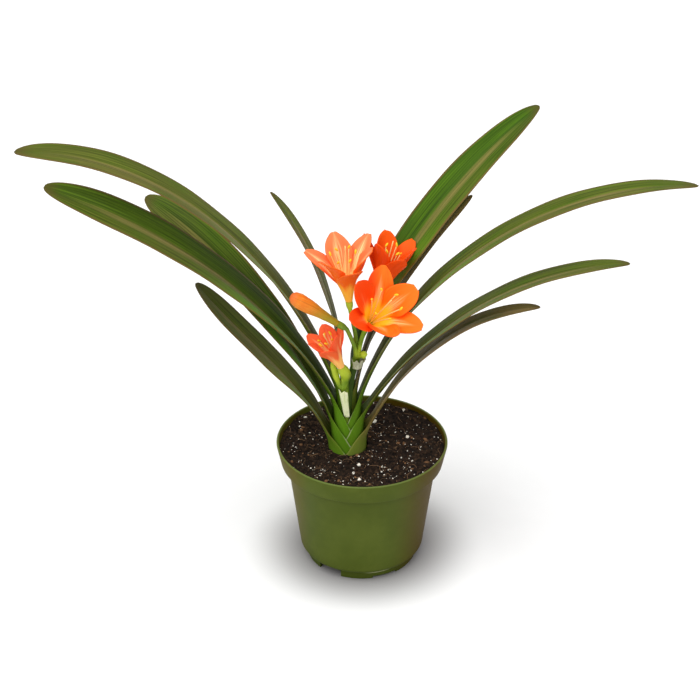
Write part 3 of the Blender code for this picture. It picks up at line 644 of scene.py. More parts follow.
def soil_paint(name):
    """Damp peat: near black, with brown crumbs and fibres."""
    paint = Paint(name)
    crumb = paint.grain(paint.place(), 260.0, 5.0, 0.65)
    lump = paint.cells(paint.place(), 190.0)
    patch = paint.grain(paint.place(), 40.0, 3.0)
    colour = paint.blend((0.006, 0.004, 0.003), (0.036, 0.021, 0.013), crumb.rise(0.35, 0.75))
    colour = paint.blend(colour, (0.075, 0.043, 0.024), (crumb * patch).rise(0.3, 0.42) * 0.7)
    return paint.finish(
        Base_Color=colour,
        Roughness=0.78 + 0.2 * patch,
        Specular_IOR_Level=0.1,
        Normal=paint.relief(crumb + lump * 0.6, 0.9, 0.002),
    )


def grit_paint(name, light, dark, scale):
    """A grain's own mottling, shaded a little differently from grain to grain."""
    paint = Paint(name)
    mottle = paint.grain(paint.place(), scale, 4.0, 0.6)
    wide = paint.grain(paint.place(), scale / 7, 2.0)
    colour = paint.blend(dark, light, (mottle * 0.5 + wide * 0.6).rise(0.3, 0.65))
    return paint.finish(
        Base_Color=colour,
        Roughness=0.7 + 0.25 * mottle,
        Specular_IOR_Level=0.15,
        Normal=paint.relief(mottle, 0.5, 0.0006),
    )


def floor_paint(name):
    """White, with a painted soft shadow round the pot."""
    paint = Paint(name)
    tooth = paint.grain(paint.place(), 30.0, 3.0)
    colour = paint.blend((0.89, 0.89, 0.89), (0.92, 0.92, 0.92), tooth)
    reach = paint.node("ShaderNodeVectorMath", {"operation": "LENGTH"}, {0: paint.place()}, "Value")
    # Painted shadow: grey round the pot's middle, fading to white by 120 mm out
    colour = paint.blend((0.27, 0.26, 0.26), colour, reach.rise(0.04, 0.12))
    return paint.finish(Base_Color=colour, Roughness=0.85, Specular_IOR_Level=0.1)


# Mesh helpers


def link(name, data):
    piece = bpy.data.objects.new(name, data)
    bpy.context.scene.collection.objects.link(piece)
    return piece


def built(name, shape):
    """The finished object of a bmesh."""
    mesh = bpy.data.meshes.new(name)
    shape.to_mesh(mesh)
    shape.free()
    return link(name, mesh)


def skin(shape, rings, closed=True):
    """Faces between rings of corners, each ring open or closed."""
    for low, high in zip(rings, rings[1:]):
        for side in range(len(low) if closed else len(low) - 1):
            after = (side + 1) % len(low)
            shape.faces.new((low[side], low[after], high[after], high[side]))


def applied(piece, weld=0.005 * MM):
    """Bake a piece's modifiers, or a curve, into a plain mesh at the origin."""
    bpy.context.view_layer.update()
    depsgraph = bpy.context.evaluated_depsgraph_get()
    baked = bpy.data.meshes.new_from_object(piece.evaluated_get(depsgraph), depsgraph=depsgraph)
    baked.transform(piece.matrix_world)
    shape = bmesh.new()
    shape.from_mesh(baked)
    bmesh.ops.remove_doubles(shape, verts=shape.verts, dist=weld)
    shape.to_mesh(baked)
    shape.free()
    name = piece.name
    bpy.data.objects.remove(piece)
    return link(name, baked)


def fused(piece, others):
    """Join others to piece as one body and remove them."""
    group = bpy.data.collections.new("Joined")
    bpy.context.scene.collection.children.link(group)
    for other in others:
        bpy.context.scene.collection.objects.unlink(other)
        group.objects.link(other)
    change = piece.modifiers.new("Union", "BOOLEAN")
    change.operation = "UNION"
    change.solver = "EXACT"
    change.operand_type = "COLLECTION"
    change.collection = group
    whole = applied(piece)
    for other in others:
        bpy.data.objects.remove(other)
    bpy.data.collections.remove(group)
    return whole


def joined(name, pieces):
    """Lay several meshes into one object."""
    shape = bmesh.new()
    for piece in pieces:
        shape.from_mesh(piece.data)
        bpy.data.objects.remove(piece)
    return built(name, shape)


def dressed(piece, nodes, slot, *materials, sharp=None):
    """Give a finished piece its materials and its body, and hide the nodes it stands for; slot is not used.
    """
    for material in materials:
        if material.name not in piece.data.materials:
            piece.data.materials.append(material)
    piece.data.shade_smooth()
    if sharp:
        piece.data.set_sharp_from_angle(angle=math.radians(sharp))
    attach(piece, "root")
    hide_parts(*nodes)
    return piece


def turned(name, profile, steps):
    """A profile in XZ turned about Z."""
    mesh = bpy.data.meshes.new(name)
    edges = [(i, i + 1) for i in range(len(profile) - 1)]
    mesh.from_pydata([(x, 0, z) for x, z in profile], edges, [])
    piece = link(name, mesh)
    turn = piece.modifiers.new("Turn", "SCREW")
    turn.steps = steps
    turn.render_steps = steps
    turn.use_merge_vertices = True
    turn.merge_threshold = 0.01 * MM
    return piece


def arc(centre_x, centre_z, radius, start, end, count):
    """Points of an arc in XZ between two angles in degrees."""
    points = []
    for i in range(count + 1):
        angle = math.radians(mix(start, end, i / count))
        points.append((centre_x + radius * math.cos(angle), centre_z + radius * math.sin(angle)))
    return points


def block(name, size, location, spin):
    """A cutter with rounded edges, placed on the +X side and then turned about Z."""
    shape = bmesh.new()
    bmesh.ops.create_cube(shape, size=1, matrix=Matrix.Diagonal((*size, 1)))
    bmesh.ops.bevel(shape, geom=shape.edges, offset=CUT_ROUNDING, segments=2, affect="EDGES", profile=0.5)
    cutter = built(name, shape)
    turn = Matrix.Rotation(math.radians(spin), 4, "Z")
    cutter.data.transform(turn @ Matrix.Translation(location))
    return cutter


def tube(name, points, radii, sides=16, squash=None):
    """A round stalk through points with rounded ends; squash presses it about a plane in Y."""
    shape = bmesh.new()
    count = len(points)
    ahead = (points[1] - points[0]).normalized()
    across = ahead.orthogonal().normalized()
    rings = []
    for index, (spot, radius) in enumerate(zip(points, radii)):
        heading = points[min(index + 1, count - 1)] - points[max(index - 1, 0)]
        turn = ahead.rotation_difference(heading.normalized())
        ahead = heading.normalized()
        across = (turn @ across).normalized()
        other = ahead.cross(across)
        ring = []
        for side in range(sides):
            angle = 2 * math.pi * side / sides
            out = across * math.cos(angle) + other * math.sin(angle)
            ring.append(shape.verts.new(spot + out * radius))
        rings.append(ring)
    skin(shape, rings)
    for ring, end in ((rings[0], -1), (rings[-1], 1)):
        middle = sum((v.co for v in ring), Vector()) / sides
        heading = (points[-1] - points[-2]) if end > 0 else (points[0] - points[1])
        reach = (ring[0].co - middle).length
        cap = shape.verts.new(middle + heading.normalized() * reach * 0.35)
        for side in range(sides):
            after = (side + 1) % sides
            corners = (ring[side], ring[after], cap) if end > 0 else (ring[after], ring[side], cap)
            shape.faces.new(corners)
    if squash:
        level, flatness = squash
        for vertex in shape.verts:
            vertex.co.y = level + (vertex.co.y - level) * flatness
    return built(name, shape)


def bent(start, lean, end, count):
    """Points of a smooth stalk from start to end that sets off along lean."""
    points = []
    for i in range(count + 1):
        t = i / count
        points.append((1 - t) ** 2 * start + 2 * t * (1 - t) * (start + lean) + t * t * end)
    return points


def facing(origin, direction):
    """The move that sets a piece modelled along Z at origin, along direction."""
    turn = Vector(direction).to_track_quat("Z", "Y").to_matrix().to_4x4()
    return Matrix.Translation(Vector(origin)) @ turn


def vector_attribute(mesh, name, values):
    layer = mesh.attributes.new(name, "FLOAT_VECTOR", "POINT")
    layer.data.foreach_set("vector", [number for value in values for number in value])


# Pot


def make_pot(olive):
    """The pot's wall turned in one piece, with its cut-outs, drain openings and reliefs."""
    floor = FOOT_HEIGHT + WALL
    band_foot = POT_HEIGHT - BAND_HEIGHT
    inner_corner = CORNER_RADIUS - WALL
    foot_outer = FOOT_RADIUS - FOOT_INSET
    foot_inner = foot_outer - FOOT_WALL
    profile = [(0, floor)]
    profile += arc(BASE_RADIUS - CORNER_RADIUS, floor + inner_corner, inner_corner, -90, -5, 6)
    profile += [(SHOULDER_RADIUS - WALL, band_foot + WALL), (BAND_RADIUS - WALL, band_foot + WALL)]
    profile += arc(RIM_RADIUS - LIP, POT_HEIGHT - LIP, LIP, 180, 0, 10)
    profile += arc(BAND_RADIUS - BAND_EDGE, band_foot + BAND_EDGE, BAND_EDGE, 0, -90, 4)
    profile += arc(SHOULDER_RADIUS + SHOULDER_EDGE, band_foot - SHOULDER_EDGE, SHOULDER_EDGE, 90, 180, 4)
    profile += arc(BASE_RADIUS - CORNER_RADIUS, FOOT_HEIGHT + CORNER_RADIUS, CORNER_RADIUS, 0, -90, 10)
    profile += [(FOOT_RADIUS - SEAM_INSET, FOOT_HEIGHT)]
    profile += arc(foot_outer - FOOT_EDGE, FOOT_EDGE, FOOT_EDGE, 0, -90, 3)
    profile += arc(foot_inner + FOOT_EDGE, FOOT_EDGE, FOOT_EDGE, -90, -180, 3)
    profile += [(foot_inner, FOOT_HEIGHT), (0, FOOT_HEIGHT)]
    pot = turned("Pot_Body", profile, POT_STEPS)
    cutters = []
    for spin in NOTCH_ANGLES:
        notch_size = (CUT_LENGTH, NOTCH_WIDTH, (FOOT_HEIGHT - NOTCH_ROOF) * 2)
        cutters.append(block("Notch", notch_size, (FOOT_RADIUS, 0, 0), spin))
        drain_place = (BASE_RADIUS - DRAIN_INSET, 0, FOOT_HEIGHT + 1 * MM)
        cutters.append(block("Drain", DRAIN_SIZE, drain_place, spin))
    for spin in RELIEF_ANGLES:
        relief_size = (CUT_LENGTH, NOTCH_WIDTH, RELIEF_DEPTH * 2)
        cutters.append(block("Relief", relief_size, (FOOT_RADIUS, 0, 0), spin))
    for cutter in cutters:
        cut = pot.modifiers.new("Cut", "BOOLEAN")
        cut.operation = "DIFFERENCE"
        cut.solver = "EXACT"
        cut.object = cutter
    pot = applied(pot)
    for cutter in cutters:
        bpy.data.objects.remove(cutter)
    return dressed(pot, ["Pot"], "pot", olive, sharp=35)


# Soil


def soil_radius():
    taper = (RIM_RADIUS - BAND_RADIUS) / BAND_HEIGHT
    band_foot = POT_HEIGHT - BAND_HEIGHT + WALL + GAP
    return BAND_RADIUS - WALL - 2 * GAP + taper * (SOIL_TOP - band_foot)


def make_soil(peat):
    """Rings from the plant's hole out to the pot's wall, with a rough top, closed below."""
    wall = soil_radius() - 0.2 * MM
    shape = bmesh.new()
    lines = []
    for ring in range(-1, SOIL_RINGS + 2):
        share = min(max(ring, 0), SOIL_RINGS) / SOIL_RINGS
        bank = smooth((share - 0.5) / 0.5)
        line = []
        for spoke in range(SOIL_SPOKES):
            angle = 2 * math.pi * spoke / SOIL_SPOKES
            ahead = Vector((math.cos(angle), math.sin(angle), 0))
            reach = (STEM_HALF_WIDTH + HOLE_ROOM, STEM_HALF_DEPTH + HOLE_ROOM)
            hole = PLANT + Vector((ahead.x * reach[0], ahead.y * reach[1], 0))
            spot = hole.lerp(ahead * wall, share)
            level = SOIL_TOP - 0.6 * MM
            level += noise.fractal(spot * 55, 1.0, 2.0, 3) * LUMP_HEIGHT * smooth(share * 8)
            level += abs(noise.fractal(spot * 330, 0.9, 2.1, 4)) * CRUMB_HEIGHT
            level += SOIL_BANK * bank
            spot = spot * (1 + SOIL_SPREAD * bank)
            if ring in (-1, SOIL_RINGS + 1):
                level = SOIL_TOP - SOIL_DEPTH
                spot = spot * (1 - 0.04 * share)
            line.append(shape.verts.new((spot.x, spot.y, level)))
        lines.append(line)
    for low, high in zip(lines, lines[1:] + lines[:1]):
        for spoke in range(SOIL_SPOKES):
            after = (spoke + 1) % SOIL_SPOKES
            shape.faces.new((low[spoke], high[spoke], high[after], low[after]))
    return dressed(built("Soil_Bed", shape), ["Soil"], "soil", peat, sharp=60)


class Tree:
    """A geometry nodes tree under construction."""

    def __init__(self, name):
        self.tree = bpy.data.node_groups.new(name, "GeometryNodeTree")
        for way in ("INPUT", "OUTPUT"):
            self.tree.interface.new_socket("Geometry", in_out=way, socket_type="NodeSocketGeometry")
        self.given = self.tree.nodes.new("NodeGroupInput")
        self.result = self.tree.nodes.new("NodeGroupOutput")

    def ask(self, name, kind, default):
        """A named input of the tree."""
        socket = self.tree.interface.new_socket(name, in_out="INPUT", socket_type="NodeSocket" + kind)
        socket.default_value = default
        return self.given.outputs[name]

    def add(self, kind, sockets=None, output=0, **settings):
        """A node, given by one of its outputs."""
        node = self.tree.nodes.new(kind)
        for key, value in settings.items():
            setattr(node, key, value)
        for key, value in (sockets or {}).items():
            if isinstance(value, bpy.types.NodeSocket):
                self.tree.links.new(value, node.inputs[key])
            else:
                node.inputs[key].default_value = value
        return node.outputs[output]

    def times(self, first, second):
        return self.add("ShaderNodeMath", {0: first, 1: second}, operation="MULTIPLY")

    def turns(self, lean, roll, seed):
        """A random turn, with a full circle about Z."""
        limits = {0: (-lean, -roll, 0), 1: (lean, roll, 6.28), "Seed": seed}
        return self.add("FunctionNodeRandomValue", limits, data_type="FLOAT_VECTOR")

    def pick(self, low, high, seed):
        """A random number."""
        return self.add("FunctionNodeRandomValue", {2: low, 3: high, "Seed": seed}, 1, data_type="FLOAT")

    def laid(self, density, seed, instance, turn, scale):
        """Copies of an instance on the faces that look up, made real."""
        upward = self.add("ShaderNodeSeparateXYZ", {0: self.add("GeometryNodeInputNormal")}, 2)
        top = self.add("FunctionNodeCompare", {0: upward, 1: UPWARD}, operation="GREATER_THAN")
        bed = {"Mesh": self.given.outputs[0], "Selection": top, "Density": density, "Seed": seed}
        spots = self.add("GeometryNodeDistributePointsOnFaces", bed)
        copies = {"Points": spots, "Instance": instance, "Rotation": turn, "Scale": scale}
        made = self.add("GeometryNodeInstanceOnPoints", copies)
        return self.add("GeometryNodeRealizeInstances", {0: made})

    def end(self, geometry, material):
        real = self.add("GeometryNodeRealizeInstances", {0: geometry})
        finished = self.add("GeometryNodeSetMaterial", {0: real, "Material": material})
        self.tree.links.new(finished, self.result.inputs[0])
        return self.tree


def scatter_tree(material):
    """Rough grains of random size, turned and half sunk, over the top faces of a bed."""
    tree = Tree("Scatter")
    density = tree.ask("Density", "Float", 1000.0)
    smallest = tree.ask("Smallest", "Float", 1 * MM)
    largest = tree.ask("Largest", "Float", 3 * MM)
    flatness = tree.ask("Flatness", "Float", 0.7)
    detail = tree.ask("Detail", "Int", 1)
    seed = tree.ask("Seed", "Int", 1)
    grain = tree.add("GeometryNodeMeshIcoSphere", {"Radius": 0.5, "Subdivisions": detail})
    rare = tree.add("ShaderNodeMath", {0: tree.pick(0.0, 1.0, seed), 1: 2.5}, operation="POWER")
    size = tree.add("ShaderNodeMapRange", {0: rare, 3: smallest, 4: largest})
    sides = {0: tree.times(size, GRAIN_LENGTH), 1: size, 2: tree.times(size, flatness)}
    scale = tree.add("ShaderNodeCombineXYZ", sides)
    real = tree.laid(density, seed, grain, tree.turns(0.5, 0.5, seed), scale)
    place = tree.add("GeometryNodeInputPosition")
    rough = tree.add("ShaderNodeTexNoise", {"Vector": place, "Scale": 700.0, "Detail": 1.0}, 1)
    centred = tree.add("ShaderNodeVectorMath", {0: rough, 1: (0.5, 0.5, 0.5)}, operation="SUBTRACT")
    push = tree.add("ShaderNodeVectorMath", {0: centred, "Scale": GRAIN_ROUGHNESS}, operation="SCALE")
    return tree.end(tree.add("GeometryNodeSetPosition", {0: real, "Offset": push}), material)


def fibre_tree(material):
    """Short bent fibres laid flat over a bed."""
    tree = Tree("Fibres")
    density = tree.ask("Density", "Float", 1000.0)
    length = tree.ask("Length", "Float", 10 * MM)
    thickness = tree.ask("Thickness", "Float", 0.3 * MM)
    seed = tree.ask("Seed", "Int", 1)
    bend = {"Resolution": 6, "Start": (-0.5, 0, 0), "Middle": (0, 0.45, 0.25), "End": (0.5, 0, 0)}
    bow = tree.add("GeometryNodeCurveQuadraticBezier", bend)
    scale = tree.times(tree.pick(0.35, 1.0, seed), length)
    real = tree.laid(density, seed, bow, tree.turns(0.4, 0.3, seed), scale)
    ring = tree.add("GeometryNodeCurvePrimitiveCircle", {"Resolution": 4, "Radius": thickness})
    return tree.end(tree.add("GeometryNodeCurveToMesh", {0: real, 1: ring, "Fill Caps": True}), material)


def grow_on(bed, name, tree, inputs):
    """Run a tree over a copy of the soil bed and keep only what it makes."""
    piece = link(name, bed.data.copy())
    change = piece.modifiers.new("Tree", "NODES")
    change.node_group = tree
    for item in tree.interface.items_tree:
        if item.in_out == "INPUT" and item.name in inputs:
            change[item.identifier] = inputs[item.name]
    return dressed(applied(piece, weld=0.0), ["Soil"], "soil")


def make_grains(bed):
    """Perlite, bark, crumbs and fibres over the soil."""
    finishes = {name: grit_paint(name, *row) for name, row in GRIT_COLOURS.items()}
    for name, finish, density, smallest, largest, flatness, detail, seed in GRAINS:
        inputs = {"Density": density, "Smallest": smallest * MM, "Largest": largest * MM}
        inputs.update({"Flatness": flatness, "Detail": detail, "Seed": seed})
        grow_on(bed, name, scatter_tree(finishes[finish]), inputs)
    inputs = {"Density": FIBRE_DENSITY, "Length": FIBRE_LENGTH}
    inputs.update({"Thickness": FIBRE_THICKNESS, "Seed": FIBRE_SEED})
    grow_on(bed, "Fibres", fibre_tree(finishes["Peat_Fibres"]), inputs)


# Leaves


def layer_ring(layer):
    """Half width, half depth and centre of a layer's ellipse, with room for the stalks in front."""
    front = STEM_HALF_DEPTH - layer * LAYER_STEP
    back = front
    half_width = STEM_HALF_WIDTH - layer * LAYER_STEP
    if layer >= SECOND_SCAPE_LAYER:
        front -= SECOND_SCAPE_ROOM
        half_width -= SECOND_SCAPE_SIDE
    if layer >= MAIN_SCAPE_LAYER:
        front -= MAIN_SCAPE_ROOM
        half_width -= MAIN_SCAPE_SIDE
    return half_width, (front + back) / 2, PLANT.y + (back - front) / 2


def leaf_spine(side, neck_height, length, elevations, swings, rolls, layer):
    """Stations along the midrib: place, width direction, upper direction, run and share."""
    sheath = neck_height - SHEATH_BOTTOM
    half_width, _, centre_y = layer_ring(layer)
    foot = Vector((PLANT.x + side * half_width, centre_y, SHEATH_BOTTOM))
    rows = []
    for row in range(SHEATH_ROWS + 1):
        height = sheath * row / SHEATH_ROWS
        rows.append((foot + Vector((0, 0, height)), Vector((0, 1, 0)), Vector((-side, 0, 0)), height, 0.0))
    spot = foot + Vector((0, 0, sheath))
    even = [(row + 1) / BLADE_ROWS for row in range(BLADE_ROWS)]
    wanted = [mix(share, smooth(share), 0.3) for share in even]
    wanted[-1:] = [1 - back / SPINE_STEPS for back in (3, 2, 1, 0)]
    for step in range(SPINE_STEPS):
        share = (step + 0.5) / SPINE_STEPS
        lift = math.radians(mix(90, through(*elevations, share), smooth(share * 14)))
        swing = math.radians(through(0, *swings, share))
        ahead = Vector((side * math.cos(swing), math.sin(swing), 0))
        tangent = ahead * math.cos(lift) + Vector((0, 0, math.sin(lift)))
        upper = Vector((0, 0, math.cos(lift))) - ahead * math.sin(lift)
        spot = spot + tangent * (length / SPINE_STEPS)
        end = (step + 1) / SPINE_STEPS
        while wanted and end >= wanted[0] - 1e-9:
            wanted.pop(0)
            roll = math.radians(through(0, *rolls, share)) * side
            turn = Matrix.Rotation(roll, 3, tangent)
            across = turn @ (upper.cross(tangent) * side)
            rows.append((spot.copy(), across, turn @ upper, sheath + share * length, end))
    return rows


def blade_half_width(share, width):
    """A strap leaf: narrow at the neck, widest past the middle, with a tapered tip."""
    neck = mix(NECK_SHARE, 1, smooth(share / 0.5))
    tip = 1 - max(0, (share - WIDEST) / (1 - WIDEST)) ** 3
    return width / 2 * neck * max(tip, 0) ** 0.5


def leaf_section(layer, half, wrap, share, settle):
    """Points across a leaf as (across, up, thickness), from edge to edge."""
    half_width, half_depth, _ = layer_ring(layer)
    fold = math.radians(mix(NECK_FOLD, BLADE_FOLD, smooth(share / WIDEST)))
    middle, edge = (mix(low, high, settle) for low, high in zip(SHEATH_THICKNESS, BLADE_THICKNESS))
    sides = LEAF_COLUMNS // 2
    points = []
    for column in range(-sides, sides + 1):
        t = abs(column) / sides
        sign = 1 if column >= 0 else -1
        angle = math.radians(wrap) * t
        ring = Vector((half_depth * math.sin(angle), half_width * (1 - math.cos(angle))))
        slope = fold * (1 - 0.45 * t)
        flat = Vector((half * t * math.cos(slope), half * t * math.sin(slope)))
        spot = ring.lerp(flat, settle)
        thick = mix(middle, edge, min(1, t * 1.35))
        points.append((spot.x * sign, spot.y, thick))
    return points


def make_leaf(row, layer, upper_paint, under_paint):
    """A leaf from its sheath to its tip: a strip with a keel, folded round the leaves inside it."""
    name, side, edge_height, length, width, elevations, swings, rolls, bronze = row
    neck_height = SOIL_TOP + (edge_height + 1) * MM
    rows = leaf_spine(side, neck_height, length * MM, elevations, swings, rolls, layer)
    shape = bmesh.new()
    bmesh.ops.create_grid(shape, x_segments=LEAF_COLUMNS, y_segments=len(rows) - 1, size=0.5)
    shape.verts.ensure_lookup_table()
    weights = []
    strip = []
    columns = LEAF_COLUMNS + 1
    for index, vertex in enumerate(shape.verts):
        place, across, upper, run, share = rows[index // columns]
        above = (SHEATH_BOTTOM + run - SOIL_TOP) / MM - edge_height
        wrap = min(SHEATH_WRAP, max(NECK_WRAP, 90 - 2.0 * above))
        settle = smooth((run - (neck_height - SHEATH_BOTTOM)) / SETTLE_RUN)
        half = blade_half_width(share, width * MM)
        u, v, thick = leaf_section(layer, half, wrap, share, settle)[index % columns]
        t = (index % columns) / LEAF_COLUMNS * 2 - 1
        ripple = math.sin(run * 95 + layer * 2.3 + t) * RIPPLE_HEIGHT * t * t * smooth(share * 4)
        vertex.co = place + across * u + upper * (v + ripple * min(1, half / (8 * MM)))
        weights.append(thick)
        strip.append((t, run, share))
    leaf = built(name.replace("Leaf", "Blade"), shape)
    mesh = leaf.data
    vector_attribute(mesh, "strip", strip)
    vector_attribute(mesh, "leaf", [(bronze, width * MM / 2, layer * 11.0)] * len(strip))
    group = leaf.vertex_groups.new(name="Thickness")
    for index, weight in enumerate(weights):
        group.add([index], weight, "REPLACE")
    if side > 0:
        mesh.flip_normals()
    mesh.materials.append(upper_paint)
    mesh.materials.append(under_paint)
    wall = leaf.modifiers.new("Wall", "SOLIDIFY")
    wall.thickness = KEEL_THICKNESS
    wall.offset = 1
    wall.vertex_group = "Thickness"
    wall.material_offset = 1
    leaf = applied(leaf, weld=0.02 * MM)
    return dressed(leaf, [name], "leaf", upper_paint, under_paint)


# Blooms


def tepal_line(length, leans, outward):
    """Points (radius, height) along a tepal's middle; outward adds to its lean in degrees."""
    points = [(TUBE_RADIUS, 0.0)]
    radius, height = points[0]
    fine = 6
    for row in range(TEPAL_ROWS):
        for step in range(fine):
            share = (row + (step + 0.5) / fine) / TEPAL_ROWS
            lean = math.radians(through(*leans, share) + outward * smooth(share * 1.6))
            radius += math.sin(lean) * length / TEPAL_ROWS / fine
            height += math.cos(lean) * length / TEPAL_ROWS / fine
        points.append((radius, height))
    return points


def tepal_half_width(share, width):
    """Broad past the middle, with a rounded tip."""
    return width / 2 * math.sin(math.pi * min(share, 0.99) ** 1.6) ** 0.5


def make_perianth(name, length, leans, width, rng, outside, inside):
    """A tube that parts into six tepals, the outer three narrower and leaning further out."""
    lines = [tepal_line(length, leans, outward) for outward in TEPAL_LEANS]
    shape = bmesh.new()
    record = []
    for tepal in range(6):
        middle = math.radians(60 * tepal)
        outer = tepal % 2
        full = width * (OUTER_WIDTH if outer else 1)
        wave = rng.uniform(0, 6.28)
        rings = []
        for row in range(TEPAL_ROWS + 1):
            share = row / TEPAL_ROWS
            free = smooth((share - FUSED_SHARE) / 0.16)
            radius, height = lines[outer][row]
            mean_radius = (lines[0][row][0] + lines[1][row][0]) / 2
            mean_height = (lines[0][row][1] + lines[1][row][1]) / 2
            radius = mix(mean_radius, radius, free)
            height = mix(mean_height, height, free)
            limit = math.radians(mix(TUBE_SPREAD, WIDEST_SPREAD, smooth((share - FUSED_SHARE) / 0.3)))
            sweep = math.radians(TUBE_SPREAD)
            if share > FUSED_SHARE:
                sweep = min(tepal_half_width(share, full) / radius, limit)
            ring = []
            for column in range(TEPAL_COLUMNS + 1):
                t = column / TEPAL_COLUMNS * 2 - 1
                angle = middle + sweep * t
                groove = math.exp(-(t / GROOVE_WIDTH) ** 2) * smooth(share * 3) * (1 - share)
                curl = math.sin(share * 13 + wave + t * 2.2) * CURL_HEIGHT * t * t * free
                over = (TEPAL_OVERLAP if outer else -TEPAL_OVERLAP) * free
                reach = radius - groove * GROOVE_DEPTH + curl - over
                lip = height + curl * 0.6
                ring.append(shape.verts.new((reach * math.cos(angle), reach * math.sin(angle), lip)))
                record.append((t, share, tepal * 3.7))
            rings.append(ring)
        skin(shape, rings, closed=False)
    perianth = built(name, shape)
    vector_attribute(perianth.data, "tepal", record)
    perianth.data.materials.append(outside)
    perianth.data.materials.append(inside)
    wall = perianth.modifiers.new("Wall", "SOLIDIFY")
    wall.thickness = TEPAL_THICKNESS
    wall.offset = 0
    wall.material_offset = 1
    return applied(perianth, weld=0.02 * MM)


def make_stamens(length, lean, rng):
    """The filaments and anthers of six stamens, and a longer style without an anther."""
    filaments = []
    anthers = []
    for index in range(STAMENS + 1):
        angle = math.radians(60 * index + 15)
        style = index == STAMENS
        reach = length * (0.92 if style else 0.78) * rng.uniform(0.93, 1.03)
        root = 0 if style else 1.7 * MM
        side = Vector((0.25, 0, 0)) if style else Vector((math.cos(angle), math.sin(angle), 0))
        points = []
        for step in range(STAMEN_STEPS + 1):
            share = step / STAMEN_STEPS
            out = root + reach * share * math.sin(lean) * (0.7 + 0.3 * share)
            points.append(side * out + Vector((0, 0, 3 * MM + reach * share * math.cos(lean))))
        filaments.append(tube("Filament", points, [FILAMENT_RADIUS] * len(points), sides=8))
        heading = (points[-1] - points[-2]).normalized()
        across = heading.cross(Vector((0, 0, 1)) + side * 3).normalized()
        if not style:
            tilt = (across * rng.choice((-1, 1)) * 0.6 + heading).normalized()
            grain = [points[-1] + tilt * (step / 6 - 0.4) * ANTHER_LENGTH for step in range(7)]
            swell = [share * ANTHER_RADIUS for share in ANTHER_SWELL]
            anthers.append(tube("Anther", grain, swell, sides=8))
    return filaments, anthers


def make_bloom(row, outside, inside, filament, pollen):
    """A bloom in three pieces: its tepals, its filaments with the style, and its anthers."""
    name, slot, foot, direction, turn, length, leans, width = row
    length *= MM
    rng = random.Random(name)
    filaments, anthers = make_stamens(length, math.radians(leans[1] * 0.45), rng)
    base = facing(Vector(foot) * MM, direction) @ Matrix.Rotation(math.radians(turn), 4, "Z")
    perianth = make_perianth(name + "_Tepals", length, leans, width * MM, rng, outside, inside)
    stems = joined(name + "_Filaments", filaments)
    tips = joined(name + "_Anthers", anthers)
    for piece, paint in ((perianth, outside), (stems, filament), (tips, pollen)):
        piece.data.transform(base)
        dressed(piece, [name], slot, paint)


def bud_reach(share):
    """A share of the bud's radius, from its table: eased up to its widest part and straight past it."""
    reach = 0
    for (low, first), (high, second) in zip(BUD_ROWS, BUD_ROWS[1:]):
        if low <= share <= high + 1e-6:
            local = (share - low) / (high - low)
            reach = mix(first, second, local if share > 0.8 else smooth(local) * 0.4 + local * 0.6)
    return reach


def make_bud(name, paint):
    """A closed flower: its tepals folded over one another in a shallow spiral."""
    shape = bmesh.new()
    rings = []
    record = []
    for step in range(BUD_STEPS + 1):
        share = 1 - (1 - step / BUD_STEPS) ** 1.25
        reach = bud_reach(share)
        ring = []
        for side in range(BUD_SIDES):
            angle = 2 * math.pi * side / BUD_SIDES
            spiral = side / BUD_SIDES * 3 + share * 0.35
            fold = spiral % 1.0
            bulge = 1 + 0.07 * (fold - 0.5) * smooth(share * 3) * (1 - share ** 8)
            out = reach * BUD_RADIUS * bulge
            corner = (out * math.cos(angle), out * math.sin(angle), share * BUD_LENGTH)
            ring.append(shape.verts.new(corner))
            record.append((fold * 2 - 1, share, math.floor(spiral) * 2.1))
        rings.append(ring)
    skin(shape, rings)
    shape.faces.new(list(reversed(rings[0])))
    shape.faces.new(rings[-1])
    bud = built(name, shape)
    vector_attribute(bud.data, "tepal", record)
    bud.data.transform(facing(BUD_FOOT, BUD_FACING))
    return dressed(bud, ["Bud_Orange"], "bud", paint)


# Stalks


def scape_y(layer, room):
    """The depth of a scape, midway in the room in front of a layer."""
    front = layer_ring(layer)[2] - layer_ring(layer)[1]
    return front - (room + LAYER_STEP - KEEL_THICKNESS * 0.33) / 2


def rising(x, layer_y, top, straight):
    """Points of a scape: straight up among the leaves, then bent to its top."""
    foot = Vector((x, layer_y, SHEATH_BOTTOM))
    turn = Vector((x, layer_y, straight))
    ups = [foot.lerp(turn, step / 8) for step in range(8)]
    return ups + bent(turn, Vector((0, 0, (top.z - turn.z) * 0.5)), top, 14)


def flattened_stalk(name, points, radius, flatness):
    """A tube pressed flat front to back."""
    middle = points[0].y
    flat = [Vector((p.x, middle + (p.y - middle) / flatness, p.z)) for p in points]
    return tube(name, flat, [radius] * len(points), sides=24, squash=(middle, flatness))


def stalk(start, lean, end, along):
    """A pedicel from start to end, swelling into the ovary under the bloom."""
    points = bent(start, lean, end - along * OVARY_LENGTH, 12)
    radii = [PEDICEL_RADIUS * mix(1.3, 1, smooth(index / 5)) for index in range(len(points))]
    for share, swell in OVARY_SWELL:
        points.append(end - along * OVARY_LENGTH * share)
        radii.append(OVARY_RADIUS * swell)
    return tube("Pedicel", points, radii, sides=16)


def seat(row):
    """Where a pedicel ends, just inside the foot of a bloom, and the way it points."""
    foot = Vector(row[2]) * MM
    along = Vector(row[3]).normalized()
    return foot + along * SEAT_DEPTH, along


def mark_swell(piece, spots):
    """Paler where the ovaries and green buds swell."""
    layer = piece.data.attributes.new("swell", "FLOAT", "POINT")
    for vertex, value in zip(piece.data.vertices, layer.data):
        nearest = min((vertex.co - spot).length for spot in spots)
        value.value = 1 - smooth((nearest - SWELL_REACH) / SWELL_FADE)


